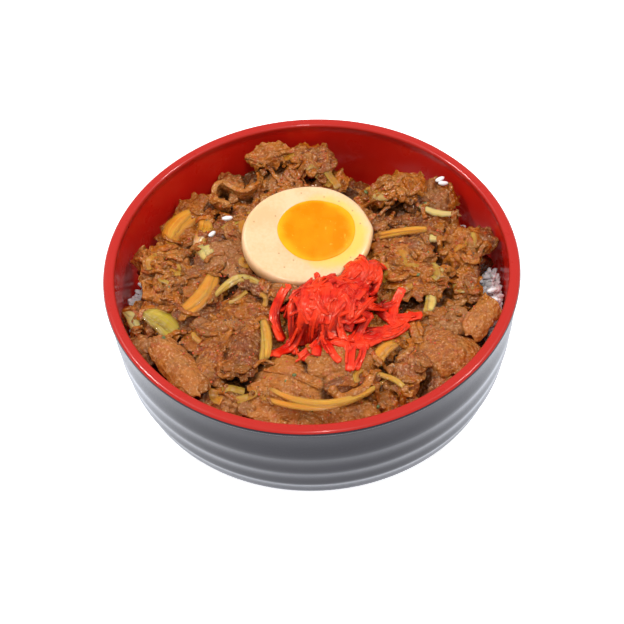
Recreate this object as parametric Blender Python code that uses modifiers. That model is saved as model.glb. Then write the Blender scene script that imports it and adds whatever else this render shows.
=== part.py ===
"""Gyudon: a donburi bowl of rice under simmered thin-sliced beef and onion, with half a soft-boiled egg
and red pickled ginger on top.

Lengths below are in millimetres and angles in degrees. The bowl stands on its foot at z = 0, centred on
the z axis, and -Y is the side that faces a person eating from it. Heights of the food are given from the
plane of the rim, so they are negative inside the bowl.
"""

import math
import random
from collections import namedtuple

import bmesh
import bpy
from mathutils import Matrix, Vector, noise
from mathutils.bvhtree import BVHTree

MM = 0.001

# Driving dimensions of the bowl
RIM_RADIUS = 88.0
RIM_HEIGHT = 76.0
WALL = 4.0
LIP_HEIGHT = 3.4
FOOT_RADIUS = 49.0
FOOT_HEIGHT = 4.8
FLOOR = 3.7
BOWL_STEPS = 32

# Gap between neighbouring pieces that touch
GAP = 0.4

# The height of the rice bed, and how much it climbs towards the right
RICE_LEVEL = -35.0
RICE_CLIMB = 10.0

# Driving dimensions of the egg
EGG_LENGTH = 57.0
EGG_WIDTH = 46.0
YOLK_LENGTH = 34.0
YOLK_WIDTH = 29.4


def clear_scene():
    for old in list(bpy.data.objects):
        bpy.data.objects.remove(old, do_unlink=True)


def new_collection(name):
    collection = bpy.data.collections.new(name)
    bpy.context.scene.collection.children.link(collection)
    return collection


def finish_material(name, colour, roughness, metallic=0.0):
    material = bpy.data.materials.new(name)
    material.use_nodes = True
    surface = material.node_tree.nodes["Principled BSDF"]
    surface.inputs["Base Color"].default_value = (*colour, 1.0)
    surface.inputs["Roughness"].default_value = roughness
    surface.inputs["Metallic"].default_value = metallic
    material.diffuse_color = (*colour, 1.0)
    return material


def object_from_bmesh(bm, name, collection, material=None):
    """A new object whose mesh is the bmesh, which is freed. Coordinates are already in metres."""
    mesh = bpy.data.meshes.new(name)
    bm.to_mesh(mesh)
    bm.free()
    made = bpy.data.objects.new(name, mesh)
    collection.objects.link(made)
    if material:
        mesh.materials.append(material)
    return made


def apply_modifiers(obj):
    """Replaces the object's mesh with its evaluated one."""
    bpy.context.view_layer.update()
    depsgraph = bpy.context.evaluated_depsgraph_get()
    mesh = bpy.data.meshes.new_from_object(obj.evaluated_get(depsgraph))
    old = obj.data
    obj.modifiers.clear()
    obj.data = mesh
    bpy.data.meshes.remove(old)


def combine(obj, operation, tools, solver="MANIFOLD"):
    """Joins a collection of closed pieces to obj, or cuts obj by them, and applies the result."""
    step = obj.modifiers.new("combine", "BOOLEAN")
    step.operation = operation
    step.operand_type = "COLLECTION"
    step.collection = tools
    step.solver = solver
    apply_modifiers(obj)


def empty_out(collection):
    for old in list(collection.objects):
        bpy.data.objects.remove(old, do_unlink=True)


def keep_main_body(obj):
    """Deletes loose scraps and the walls of sealed hollows, which leaves one closed body."""
    bm = bmesh.new()
    bm.from_mesh(obj.data)
    bmesh.ops.dissolve_degenerate(bm, dist=0.01 * MM, edges=bm.edges)
    left = set(bm.faces)
    bodies = []
    while left:
        body = [left.pop()]
        for face in body:
            for edge in face.edges:
                for other in edge.link_faces:
                    if other in left:
                        left.remove(other)
                        body.append(other)
        bodies.append(body)
    bodies.sort(key=len)
    scraps = [face for body in bodies[:-1] for face in body]
    bmesh.ops.delete(bm, geom=scraps, context="FACES")
    bmesh.ops.triangulate(bm, faces=bm.faces)
    bm.to_mesh(obj.data)
    bm.free()


def inflated_twin(obj, by, cutters):
    """A cutter with the piece's shape, larger all round, so that what it cuts stays clear of the piece."""
    bpy.context.view_layer.update()
    depsgraph = bpy.context.evaluated_depsgraph_get()
    mesh = bpy.data.meshes.new_from_object(obj.evaluated_get(depsgraph))
    mesh.transform(obj.matrix_world)
    bm = bmesh.new()
    bm.from_mesh(mesh)
    bpy.data.meshes.remove(mesh)
    bmesh.ops.remove_doubles(bm, verts=bm.verts, dist=0.001 * MM)
    bm.normal_update()
    moves = [vert.normal * min(vert.calc_shell_factor(), 1.8) * by * MM for vert in bm.verts]
    for vert, move in zip(bm.verts, moves):
        vert.co += move
    twin = object_from_bmesh(bm, obj.name + "_clearance", cutters)
    return twin


def turned(name, profile, steps, collection, material=None):
    """A profile of (radius, height) points turned about the z axis. It runs down on its outer side."""
    bm = bmesh.new()
    verts = [bm.verts.new((radius * MM, 0.0, height * MM)) for radius, height in profile]
    for start, end in zip(verts, verts[1:]):
        bm.edges.new((start, end))
    made = object_from_bmesh(bm, name, collection, material)
    screw = made.modifiers.new("turn", "SCREW")
    screw.axis = "Z"
    screw.angle = math.tau
    screw.steps = screw.render_steps = steps
    screw.use_merge_vertices = True
    screw.merge_threshold = 0.00002
    return made


# The bowl: one thick melamine wall with a rolled lip, five shallow flutes round the outside and a foot
FLUTE_CRESTS = ((86.8, 56.3), (86.0, 44.8), (84.7, 34.6), (82.2, 26.0), (77.0, 18.4))
CAVITY = ((83.9, 72.0), (82.9, 55.0), (81.2, 38.0), (78.0, 26.5), (70.5, 17.0), (58.0, 10.8), (40.0, 8.8))
FLUTE_DEPTH = 1.1


def bowl_profile():
    inner = [(0.0, FOOT_HEIGHT + FLOOR)] + list(reversed(CAVITY))
    lip_out = RIM_RADIUS - 1.2
    rim = [
        (RIM_RADIUS - WALL + 0.2, RIM_HEIGHT - 1.2),
        (RIM_RADIUS - WALL + 1.3, RIM_HEIGHT),
        (lip_out, RIM_HEIGHT),
        (RIM_RADIUS, RIM_HEIGHT - 1.3),
        (RIM_RADIUS, RIM_HEIGHT - LIP_HEIGHT + 0.6),
        (RIM_RADIUS - 1.3, RIM_HEIGHT - LIP_HEIGHT),
    ]
    outer = []
    radius, height = rim[-1]
    for crest_radius, crest_height in FLUTE_CRESTS:
        drop = height - crest_height
        outer.append((radius + (crest_radius - radius) * 0.25 - FLUTE_DEPTH, height - drop * 0.25))
        outer.append((radius + (crest_radius - radius) * 0.62 - FLUTE_DEPTH * 0.75, height - drop * 0.65))
        outer.append((crest_radius, crest_height))
        radius, height = crest_radius, crest_height
    under = [(70.0, 12.0), (60.0, 7.8), (FOOT_RADIUS + 1.6, FOOT_HEIGHT + 1.2)]
    foot = [
        (FOOT_RADIUS, 0.8),
        (FOOT_RADIUS - 0.8, 0.0),
        (FOOT_RADIUS - 4.2, 0.0),
        (FOOT_RADIUS - 5.0, FOOT_HEIGHT),
        (0.0, FOOT_HEIGHT),
    ]
    return inner + rim + outer + under + foot


def cavity_radius(height):
    """Radius of the bowl's inner wall at a height above the table."""
    points = [(RIM_RADIUS - WALL + 0.2, RIM_HEIGHT)] + list(CAVITY) + [(0.0, FOOT_HEIGHT + FLOOR)]
    for (upper_radius, upper), (lower_radius, lower) in zip(points, points[1:]):
        if lower <= height <= upper:
            share = (height - lower) / (upper - lower)
            return lower_radius + (upper_radius - lower_radius) * share
    return points[0][0]


def cavity_floor(radius):
    """Height above the table of the bowl's inner wall at a radius."""
    points = [(0.0, FOOT_HEIGHT + FLOOR)] + list(reversed(CAVITY)) + [(RIM_RADIUS - WALL + 0.2, RIM_HEIGHT)]
    for (inner_radius, lower), (outer_radius, upper) in zip(points, points[1:]):
        if inner_radius <= radius <= outer_radius:
            share = (radius - inner_radius) / (outer_radius - inner_radius)
            return lower + (upper - lower) * share
    return RIM_HEIGHT


def make_bowl(parts):
    material = finish_material("bowl_melamine", (0.55, 0.02, 0.02), 0.22)
    bowl = turned("bowl", bowl_profile(), BOWL_STEPS, parts, material)
    apply_modifiers(bowl)
    bowl.data.shade_smooth()
    bowl.data.set_sharp_from_angle(angle=math.radians(35.0))
    return bowl


def cavity_body(cutters):
    """The room inside the bowl, a little clear of its wall and open upwards, which trims the food to fit."""
    profile = [(0.0, RIM_HEIGHT + 30.0), (RIM_RADIUS - WALL - 1.0, RIM_HEIGHT + 30.0)]
    profile.append((RIM_RADIUS - WALL - 0.6, RIM_HEIGHT))
    for radius, height in CAVITY:
        profile.append((radius - GAP * 1.3, height + GAP * 0.4))
    profile.append((0.0, FOOT_HEIGHT + FLOOR + GAP))
    return turned("cavity_room", profile, BOWL_STEPS, cutters)


# The rice bed: a mound that fills the foot of the bowl, with the grains that show fused on its rim
def rice_top(x, y):
    """Height of the rice from the plane of the rim."""
    return RICE_LEVEL + RICE_CLIMB * max(0.0, x / RIM_RADIUS) ** 2


def reshape_ball(name, segments, rings, outline, top, bottom, collection, material=None):
    """A ball whose upper half is moved to the heights top(x, y) and its lower half to bottom(x, y), inside
    the radius outline(angle)."""
    bm = bmesh.new()
    bmesh.ops.create_uvsphere(bm, u_segments=segments, v_segments=rings, radius=1.0)
    for vert in bm.verts:
        level = math.hypot(vert.co.x, vert.co.y)
        angle = math.atan2(vert.co.y, vert.co.x)
        share = min(1.0, 2.0 / math.pi * math.asin(min(1.0, level)))
        radius = outline(angle) * share
        x, y = radius * math.cos(angle), radius * math.sin(angle)
        height = top(x, y, share) if vert.co.z > 1e-4 else bottom(x, y, share)
        vert.co = Vector((x, y, RIM_HEIGHT + height)) * MM
    return object_from_bmesh(bm, name, collection, material)


GRAIN_LENGTH = 5.6
GRAIN_THICKNESS = 2.3
# Arcs along the wall where the rice isn't covered: first and last angle, inner and outer radius, grains
RICE_SHOWS = (
    (-14.0, 16.0, 74.5, 79.5, 15),
    (20.0, 62.0, 70.0, 78.0, 14),
    (62.0, 84.0, 60.0, 77.5, 14),
    (100.0, 150.0, 70.0, 77.5, 16),
    (150.0, 192.0, 70.5, 78.0, 17),
)


def make_rice(parts, pieces):
    material = finish_material("steamed_rice", (0.86, 0.84, 0.78), 0.4)

    def outline(angle):
        x = RIM_RADIUS * math.cos(angle)
        return cavity_radius(RIM_HEIGHT + rice_top(x, 0.0) - 1.5) - GAP * 2.2

    def bottom(x, y, share):
        return cavity_floor(math.hypot(x, y)) - RIM_HEIGHT + GAP * 2.5

    def top(x, y, share):
        bumps = noise.noise(Vector((x, y, 3.0)) / 9.0) * 0.6
        return rice_top(x, y) + bumps * min(1.0, (1.0 - share) * 6.0)

    rice = reshape_ball("rice", 30, 12, outline, top, bottom, parts, material)
    draw = random.Random(41)
    for first, last, inner, outer, count in RICE_SHOWS:
        for index in range(count):
            angle = math.radians(first + (last - first) * (index + draw.uniform(0.2, 0.8)) / count)
            radius = draw.uniform(inner, outer)
            x, y = radius * math.cos(angle), radius * math.sin(angle)
            bm = bmesh.new()
            bmesh.ops.create_uvsphere(bm, u_segments=5, v_segments=4, radius=1.0)
            half = Vector((GRAIN_THICKNESS, GRAIN_THICKNESS, GRAIN_LENGTH)) * 0.5
            lie = Matrix.Rotation(draw.uniform(0.0, math.pi), 4, "Z") @ Matrix.Rotation(
                math.radians(draw.uniform(68.0, 100.0)), 4, "Y"
            )
            centre = Vector((x, y, RIM_HEIGHT + rice_top(x, y) + draw.uniform(0.1, 0.9)))
            for vert in bm.verts:
                grain = Vector([a * b for a, b in zip(vert.co, half)])
                vert.co = (centre + lie @ grain) * MM
            object_from_bmesh(bm, f"grain_{first:.0f}_{index}", pieces)
    combine(rice, "UNION", pieces)
    empty_out(pieces)
    return rice


# The beef: a mound of thin slices simmered until they curl and crumple
def heap_outline(angle):
    """Radius of the beef mound: close to the wall in front, and short of it behind and on the left."""
    turn = math.degrees(angle) % 360.0
    stops = (
        (0.0, 77.0),
        (25.0, 72.0),
        (50.0, 65.0),
        (70.0, 52.0),
        (92.0, 70.0),
        (118.0, 69.0),
        (135.0, 65.0),
        (155.0, 67.0),
        (185.0, 73.0),
        (205.0, 78.5),
        (250.0, 80.5),
        (300.0, 80.5),
        (335.0, 79.5),
        (360.0, 77.0),
    )
    for (low, start), (high, end) in zip(stops, stops[1:]):
        if low <= turn <= high:
            share = (turn - low) / (high - low)
            share = share * share * (3.0 - 2.0 * share)
            return start + (end - start) * share
    return stops[0][1]


HEAP_CROWN = -6.0


def heap_top(x, y):
    """Height of the mound's crown from the plane of the rim, before the slices on it."""
    radius = math.hypot(x, y)
    back = max(0.0, y / 80.0)
    return HEAP_CROWN - 6.5 * (radius / 80.0) ** 2 - 4.5 * back**2


# One slice: where its middle lies and how high from the rim, its length, its width and its heading, how
# far it bends down along its length and across its width, the height and number of its ruffles, and how
# far it reaches down into the mound under its middle.
Slice = namedtuple("Slice", "name x y z length width heading curl roll ruffle waves depth seed")

SLICES = (
    Slice("back_left_low", -13, 65, -8, 32, 24, 8, 100, 90, 1.8, 2, 16, 11),
    Slice("back_left_high", -15, 70, -2, 25, 15, 15, 90, 80, 2.2, 2, 12, 12),
    Slice("back_right", 3, 67, -3, 25, 21, -12, 90, 90, 1.8, 2, 14, 13),
    Slice("back_small", 14, 57, -8, 16, 15, -40, 70, 80, 1.4, 2, 12, 14),
    Slice("back_bed", -4, 50, -10, 40, 26, 5, 40, 40, 1.8, 2, 8, 15),
    Slice("behind_curl", -33, 66, -15, 20, 14, 12, 60, 60, 1.5, 1, 10, 16),
    Slice("far_left", -50, 53, -16, 22, 15, 28, 50, 70, 1.5, 2, 10, 17),
    Slice("under_petal", -49, 38, -14, 30, 22, 35, 30, 30, 1.6, 2, 8, 18),
    Slice("left_of_egg", -38, 26, -9, 30, 22, 60, 30, 40, 1.6, 2, 7, 49),
    Slice("beside_egg", -34, 11, -4, 29, 20, 60, 60, 70, 0.6, 1, 8, 19),
    Slice("left_lump_low", -62, 8, -12, 33, 33, 40, 100, 90, 1.6, 2, 14, 20),
    Slice("left_lump_high", -64, 12, -7, 27, 19, 25, 80, 70, 2.6, 2, 10, 21),
    Slice("left_lump_front", -60, -1, -7, 28, 20, 30, 80, 90, 1.8, 2, 10, 22),
    Slice("left_inner", -46, -4, -6, 26, 24, 60, 60, 60, 1.4, 2, 7, 51),
    Slice("middle_left", -27, -17, -3, 25, 22, 0, 70, 70, 1.2, 2, 7, 23),
    Slice("left_flat", -46, -21, -6, 26, 20, -20, 40, 50, 1.6, 2, 6, 24),
    Slice("left_shelf", -63, -17, -9, 26, 19, -50, 60, 60, 1.6, 2, 7, 52),
    Slice("left_edge", -69, -31, -11, 20, 16, -55, 70, 80, 1.4, 1, 9, 25),
    Slice("front_left_roll", -54, -47, -3, 34, 19, -56, 40, 170, 0.6, 1, 9, 26),
    Slice("left_mass", -41, -32, -3, 31, 21, 12, 70, 70, 1.6, 2, 7, 27),
    Slice("left_fold", -43, -45, -3, 24, 18, 66, 60, 130, 1.0, 1, 8, 28),
    Slice("middle_fold", -29, -43, -1, 31, 20, 76, 70, 120, 1.0, 1, 8, 29),
    Slice("front_left", -37, -61, -7, 24, 20, -27, 80, 70, 1.6, 2, 8, 30),
    Slice("front_broad", -10, -59, -3, 37, 29, -8, 70, 80, 1.2, 2, 7, 31),
    Slice("front_lobe", -13, -72, -8, 34, 16, -5, 70, 90, 1.4, 2, 9, 32),
    Slice("centre_broad", 11, -50, 0, 31, 24, 2, 70, 90, 1.2, 1, 7, 33),
    Slice("centre_hem", 14, -61, -2, 24, 10, 14, 50, 120, 0.6, 1, 8, 34),
    Slice("front_right_low", 29, -65, -7, 25, 20, -5, 70, 70, 1.6, 2, 8, 35),
    Slice("front_middle", 12, -71, -7, 31, 16, -3, 60, 80, 1.4, 2, 9, 36),
    Slice("fat_edge", 37, -56, -3, 25, 15, 68, 60, 80, 1.2, 2, 8, 37),
    Slice("right_broad", 53, -47, -3, 30, 23, 8, 80, 90, 0.8, 1, 8, 38),
    Slice("right_front_rim", 50, -59, -9, 26, 14, 42, 60, 70, 1.2, 2, 8, 53),
    Slice("right_roll", 69, -29, -4, 25, 19, 48, 70, 160, 0.6, 1, 10, 39),
    Slice("right_inner", 51, -31, -4, 27, 23, 12, 60, 70, 1.6, 2, 7, 41),
    Slice("under_ginger", 26, -37, -5, 34, 26, 20, 40, 50, 1.6, 2, 6, 42),
    Slice("right_lump_low", 65, 5, -10, 35, 36, 5, 110, 100, 1.8, 2, 14, 43),
    Slice("right_lump_high", 66, 11, -5, 29, 22, 30, 90, 80, 2.4, 2, 10, 44),
    Slice("right_lump_front", 67, -10, -7, 27, 20, -15, 80, 90, 2.0, 2, 10, 45),
    Slice("right_of_ginger", 44, -9, -2, 26, 24, -4, 60, 70, 1.4, 2, 7, 46),
    Slice("right_of_egg", 41, 7, -4, 27, 20, -4, 60, 70, 0.8, 1, 7, 47),
    Slice("right_shelf", 53, 22, -8, 30, 24, 40, 60, 60, 1.4, 2, 7, 54),
    Slice("back_right_low", 43, 42, -11, 40, 31, -8, 100, 90, 1.8, 2, 12, 48),
    Slice("back_right_high", 38, 47, -5, 28, 20, 8, 90, 80, 2.4, 2, 10, 55),
    Slice("back_right_edge", 54, 42, -6, 23, 18, -60, 80, 80, 2.0, 2, 10, 50),
)
SLICE_EDGE = 2.0

# A last strip of beef stands on its edge behind the egg and curls round on itself
CURL_PATH = (
    (-20.0, 65.0),
    (-21.5, 56.0),
    (-27.5, 50.5),
    (-33.5, 54.5),
    (-38.5, 56.5),
    (-42.0, 51.5),
    (-40.0, 46.0),
    (-35.0, 42.0),
)
CURL_FOOT = -20.0
CURL_CREST = -7.5
CURL_THICKNESS = 3.2


def sheet_point(u, v, piece):
    """A point of a curled, ruffled sheet in its own frame. u and v run from -1 to 1."""
    ragged = 1.0 + 0.25 * noise.noise(Vector((u * 2.4, math.copysign(1.7, v), piece.seed)))
    taper = (0.4 + 0.6 * math.sqrt(max(0.0, 1.0 - abs(u) ** 3))) * ragged
    along = u * piece.length / 2.0
    across = v * piece.width / 2.0 * taper
    sag = piece.length / 2.0 * math.tan(math.radians(piece.curl / 4.0)) * u * u
    sag += piece.width / 2.0 * math.tan(math.radians(piece.roll / 4.0)) * v * v
    wave = math.sin(math.pi * piece.waves * (u + 0.35 * v) + piece.seed * 1.7)
    lift = piece.ruffle * wave * (0.35 + 0.65 * v * v)
    crumple = noise.noise(Vector((along / 9.0, across / 7.0, piece.seed * 3.1)))
    return Vector((along, across, lift + piece.ruffle * 0.8 * crumple - sag))


def make_slice(piece, columns, rows, collection):
    """A slice as a closed cushion: the bent sheet on top, and an underside that reaches into the mound."""
    place = Matrix.Translation(Vector((piece.x, piece.y, RIM_HEIGHT + piece.z)))
    frame = place @ Matrix.Rotation(math.radians(piece.heading), 4, "Z")
    bm = bmesh.new()
    bmesh.ops.create_grid(bm, x_segments=columns, y_segments=rows, size=1.0)
    under = list(bm.verts)
    copied = bmesh.ops.extrude_face_region(bm, geom=bm.faces[:], use_keep_orig=True)["geom"]
    upper = [item for item in copied if isinstance(item, bmesh.types.BMVert)]
    for vert in under:
        u, v = vert.co.x, vert.co.y
        inside = (1.0 - u * u) * (1.0 - v * v)
        down = SLICE_EDGE + piece.depth * math.sqrt(max(0.0, inside))
        vert.co = sheet_point(u, v, piece) - Vector((0.0, 0.0, down))
    for vert in upper:
        vert.co = sheet_point(vert.co.x, vert.co.y, piece)
    for vert in bm.verts:
        vert.co = frame @ vert.co * MM
    bmesh.ops.triangulate(bm, faces=bm.faces)
    bmesh.ops.recalc_face_normals(bm, faces=bm.faces)
    object_from_bmesh(bm, "slice_" + piece.name, collection)


def make_curl(collection):
    """The standing strip: a wall that follows its path, with a wavy crest."""
    bm = bmesh.new()
    path = [Vector((x, y, 0.0)) for x, y in CURL_PATH]
    rings = []
    for index, point in enumerate(path):
        ahead = path[min(index + 1, len(path) - 1)]
        behind = path[max(index - 1, 0)]
        side = (ahead - behind).cross(Vector((0.0, 0.0, 1.0))).normalized() * CURL_THICKNESS / 2.0
        crest = RIM_HEIGHT + CURL_CREST + 1.2 * math.sin(index * 1.9)
        foot = RIM_HEIGHT + CURL_FOOT
        corners = ((side, foot), (side * 0.7, crest), (-side * 0.7, crest), (-side, foot))
        rings.append([bm.verts.new((point + offset + Vector((0.0, 0.0, z))) * MM) for offset, z in corners])
    for ring, following in zip(rings, rings[1:]):
        for corner in range(4):
            turn = (corner + 1) % 4
            bm.faces.new((ring[corner], ring[turn], following[turn], following[corner]))
    bm.faces.new(rings[0])
    bm.faces.new(rings[-1])
    bmesh.ops.triangulate(bm, faces=bm.faces)
    bmesh.ops.recalc_face_normals(bm, faces=bm.faces)
    object_from_bmesh(bm, "curl", collection)


def make_beef_mound(parts, pieces):
    material = finish_material("simmered_beef", (0.30, 0.14, 0.07), 0.35)

    def top(x, y, share):
        shoulder = max(0.0, (share - 0.8) / 0.2)
        crown = heap_top(x, y) - 0.8 + 1.2 * noise.noise(Vector((x, y, 8.0)) / 10.0)
        bed = rice_top(x, y) + 4.0
        return crown + (bed - crown) * shoulder**1.6

    def bottom(x, y, share):
        return rice_top(x, y) + 1.3

    beef = reshape_ball("beef", 24, 12, heap_outline, top, bottom, parts, material)
    for piece in SLICES:
        columns = max(3, min(6, round(piece.length / 6.0)))
        rows = max(2, min(4, round(piece.width / 7.0)))
        make_slice(piece, columns, rows, pieces)
    make_curl(pieces)
    combine(beef, "UNION", pieces)
    empty_out(pieces)
    return beef


# The onion: strips and petals cooked in the sauce, each its own piece
Strip = namedtuple("Strip", "name x y z length width heading roll bow")

STRIPS = (
    Strip("onion_long_front", 1, -67, 0.0, 50, 4.4, 1, 60, -9.0),
    Strip("onion_arc_left", -31, -10, -1.0, 25, 4.4, 6, 60, 8.0),
    Strip("onion_amber_left", -47, -11, -2.0, 26, 8.5, 60, 80, -2.0),
    Strip("onion_petal_left", -64, -22, -6.0, 22, 12.0, -46, 70, 2.0),
    Strip("onion_petal_back", -57, 38, -12.0, 24, 12.0, 52, 70, 3.0),
    Strip("onion_ribbon_back", -48, 28, -9.0, 25, 6.0, -105, 70, 3.0),
    Strip("onion_pale_left", -46, 15, -6.0, 12, 8.0, -58, 70, 1.0),
    Strip("onion_upright", -20.5, -38, 0.0, 25, 5.0, -88, 60, 1.5),
    Strip("onion_short_front", 28, -48, -0.5, 15, 6.0, 50, 70, 2.0),
    Strip("onion_thread_front", 29, -62, -1.2, 17, 2.8, -34, 50, 2.5),
    Strip("onion_bit_right", 48, -23, -1.0, 12, 5.0, -98, 70, 1.0),
    Strip("onion_amber_right", 41, 18.5, -3.0, 27, 4.0, 8, 60, 1.2),
    Strip("onion_pale_right", 57, 31, -4.0, 18, 4.0, -20, 60, -2.0),
    Strip("onion_left_edge", -77, -16, -11.0, 15, 5.0, -64, 60, 1.0),
    Strip("onion_chunk_right", 53, 14, -2.5, 8, 5.0, -12, 60, 0.6),
)
ONION_THICKNESS = 1.7
# How far the middle of a strip's thickness lies above the beef it rests on
ONION_LIFT = 1.3


def strip_point(u, v, piece):
    """A point of an onion strip in its own frame: pointed ends, a cupped section and a sideways bow."""
    taper = 0.25 + 0.75 * math.sqrt(max(0.0, 1.0 - abs(u) ** 2.6))
    roll = math.radians(piece.roll)
    across = v * piece.width / 2.0 * taper
    bend = piece.width / roll
    x = u * piece.length / 2.0
    y = bend * math.sin(across / bend) + piece.bow * (0.5 - u * u)
    return Vector((x, y, bend * (math.cos(across / bend) - 1.0)))


def height_below(surface, point):
    """Height from the plane of the rim at which the surface is met from above, or None."""
    start = Vector((point.x * MM, point.y * MM, (RIM_HEIGHT + 40.0) * MM))
    hit = surface.ray_cast(start, Vector((0.0, 0.0, -1.0)))[0]
    return hit.z / MM - RIM_HEIGHT if hit else None


def make_strip(piece, columns, rows, surface, collection, material):
    """An onion strip draped over the mound: each cross-section rests on the highest beef under it."""
    turn = Matrix.Rotation(math.radians(piece.heading), 4, "Z")
    frame = Matrix.Translation(Vector((piece.x, piece.y, 0.0))) @ turn
    steps = [-1.0 + 2.0 * column / columns for column in range(columns + 1)]
    rests = []
    for u in steps:
        points = [frame @ strip_point(u, v, piece) for v in (-1.0, 0.0, 1.0)]
        heights = [height_below(surface, point) for point in points]
        found = [height for height in heights if height is not None]
        rests.append(max(max(found), piece.z - 3.0) if found else piece.z)
    levels = []
    for index in range(len(rests)):
        near = rests[max(0, index - 1) : index + 2]
        levels.append((sum(near) + rests[index]) / (len(near) + 1))
    bm = bmesh.new()
    bmesh.ops.create_grid(bm, x_segments=columns, y_segments=rows, size=1.0)
    for vert in bm.verts:
        column = round((vert.co.x + 1.0) / 2.0 * columns)
        point = frame @ strip_point(vert.co.x, vert.co.y, piece)
        vert.co = (point + Vector((0.0, 0.0, RIM_HEIGHT + levels[column] + ONION_LIFT))) * MM
    bmesh.ops.triangulate(bm, faces=bm.faces)
    made = object_from_bmesh(bm, piece.name, collection, material)
    shell = made.modifiers.new("thickness", "SOLIDIFY")
    shell.thickness = ONION_THICKNESS * MM
    shell.offset = 0.0
    apply_modifiers(made)
    return made


def make_onions(parts, beef):
    material = finish_material("cooked_onion", (0.72, 0.42, 0.12), 0.25)
    corners = [vert.co for vert in beef.data.vertices]
    surface = BVHTree.FromPolygons(corners, [face.vertices for face in beef.data.polygons])
    onions = []
    for piece in STRIPS:
        columns = max(4, min(10, round(piece.length / 4.5)))
        onions.append(make_strip(piece, columns, 2, surface, parts, material))
    return onions


# The egg: half a soft-boiled egg, cut lengthways, its cut face up and tipped to the front and right
EGG_PLACE = (-0.5, 11.2, 4.5)
EGG_HEADING = 20.0
EGG_TIP = 12.0
EGG_LEAN = 10.0
EGG_POINT = 0.03
YOLK_OFFSET = (4.3, 1.0)


def egg_frame():
    place = Matrix.Translation(Vector(EGG_PLACE) + Vector((0.0, 0.0, RIM_HEIGHT)))
    tip = Matrix.Rotation(math.radians(EGG_TIP), 4, "X")
    lean = Matrix.Rotation(math.radians(EGG_LEAN), 4, "Y")
    return place @ lean @ tip @ Matrix.Rotation(math.radians(EGG_HEADING), 4, "Z")


def half_ball(length, width, depth, point_end, segments, rings, centre=(0.0, 0.0), crown=0.0):
    """The lower half of an egg-shaped ball with a closed flat or slightly crowned face, in millimetres."""
    bm = bmesh.new()
    bmesh.ops.create_uvsphere(bm, u_segments=segments, v_segments=rings, radius=1.0)
    cut = bmesh.ops.bisect_plane(
        bm,
        geom=bm.verts[:] + bm.edges[:] + bm.faces[:],
        plane_co=(0.0, 0.0, 0.0),
        plane_no=(0.0, 0.0, 1.0),
        clear_outer=True,
        dist=1e-5,
    )
    rim = [edge for edge in cut["geom_cut"] if isinstance(edge, bmesh.types.BMEdge)]
    face = bmesh.ops.contextual_create(bm, geom=rim)["faces"]
    middle = bmesh.ops.poke(bm, faces=face)["verts"][0]
    middle.co = Vector((0.0, 0.0, crown / depth))
    for vert in bm.verts:
        narrow = 1.0 - point_end * vert.co.x
        x = vert.co.x * length / 2.0 + centre[0]
        y = vert.co.y * width / 2.0 * narrow + centre[1]
        vert.co = Vector((x, y, vert.co.z * depth * narrow))
    return bm


def place_half_ball(bm, name, collection, material=None, lift=0.0):
    frame = egg_frame()
    for vert in bm.verts:
        vert.co = frame @ (vert.co + Vector((0.0, 0.0, lift))) * MM
    return object_from_bmesh(bm, name, collection, material)


def make_egg(parts, pieces):
    white = finish_material("egg_white", (0.93, 0.80, 0.60), 0.3)
    yolk = finish_material("egg_yolk", (0.95, 0.42, 0.02), 0.2)
    albumen = half_ball(EGG_LENGTH, EGG_WIDTH, EGG_WIDTH / 2.0, EGG_POINT, 24, 12)
    egg = place_half_ball(albumen, "egg_white", parts, white)
    room = half_ball(YOLK_LENGTH, YOLK_WIDTH, YOLK_WIDTH / 2.0 - 1.0, 0.0, 20, 10, YOLK_OFFSET, 4.0)
    place_half_ball(room, "yolk_room", pieces)
    combine(egg, "DIFFERENCE", pieces)
    keep_main_body(egg)
    empty_out(pieces)
    shrink = 2.0 * GAP
    ball = half_ball(
        YOLK_LENGTH - shrink,
        YOLK_WIDTH - shrink,
        YOLK_WIDTH / 2.0 - 1.0 - GAP,
        0.0,
        20,
        10,
        YOLK_OFFSET,
        0.5,
    )
    place_half_ball(ball, "egg_yolk", parts, yolk, -0.1)


# The ginger: a loose tangle of pickled shreds, pressed together in the middle
GINGER_PLACE = (9.5, -24.0, 1.5)
GINGER_CORE = (20.0, 15.0, 7.0)
SHRED_THICKNESS = 2.8

# Shreds that hang out of the tangle: where each starts, where it ends and how far it bows sideways
SHREDS = (
    ((-9, -13, 6), (-13, -36, 1), 5.0),
    ((-6, -16, 8), (-8, -43, 1), 2.0),
    ((-17.5, -47, 0), (6, -27, 6), -2.0),
    ((-7, -49, 0), (8, -28, 6), 3.0),
    ((13, -59, 0), (24, -30, 4), -3.0),
    ((20, -36, 5), (41, -25, 1), 4.0),
    ((38, -15, 2), (34, -34, 1), 3.0),
    ((25, -3, 6), (22, -22, 8), -4.0),
    ((15, -2, 7), (29, -11, 6), 3.0),
    ((2, -13, 9), (18, -30, 7), -3.0),
    ((7, -10, 9), (22, -24, 8), 4.0),
    ((26, -12, 7), (14, -36, 5), 3.0),
    ((2, -38, 3), (22, -46, 1), 3.0),
    ((30, -32, 2), (45, -29, 1), -2.0),
    ((-14, -22, 5), (6, -18, 9), 3.0),
    ((0, -26, 8), (22, -16, 9), -4.0),
    ((10, -22, 9), (14, -50, 1), 2.0),
    ((14, -44, 2), (32, -36, 2), -3.0),
    ((-2, -32, 6), (0, -50, 0), -2.0),
)


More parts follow.
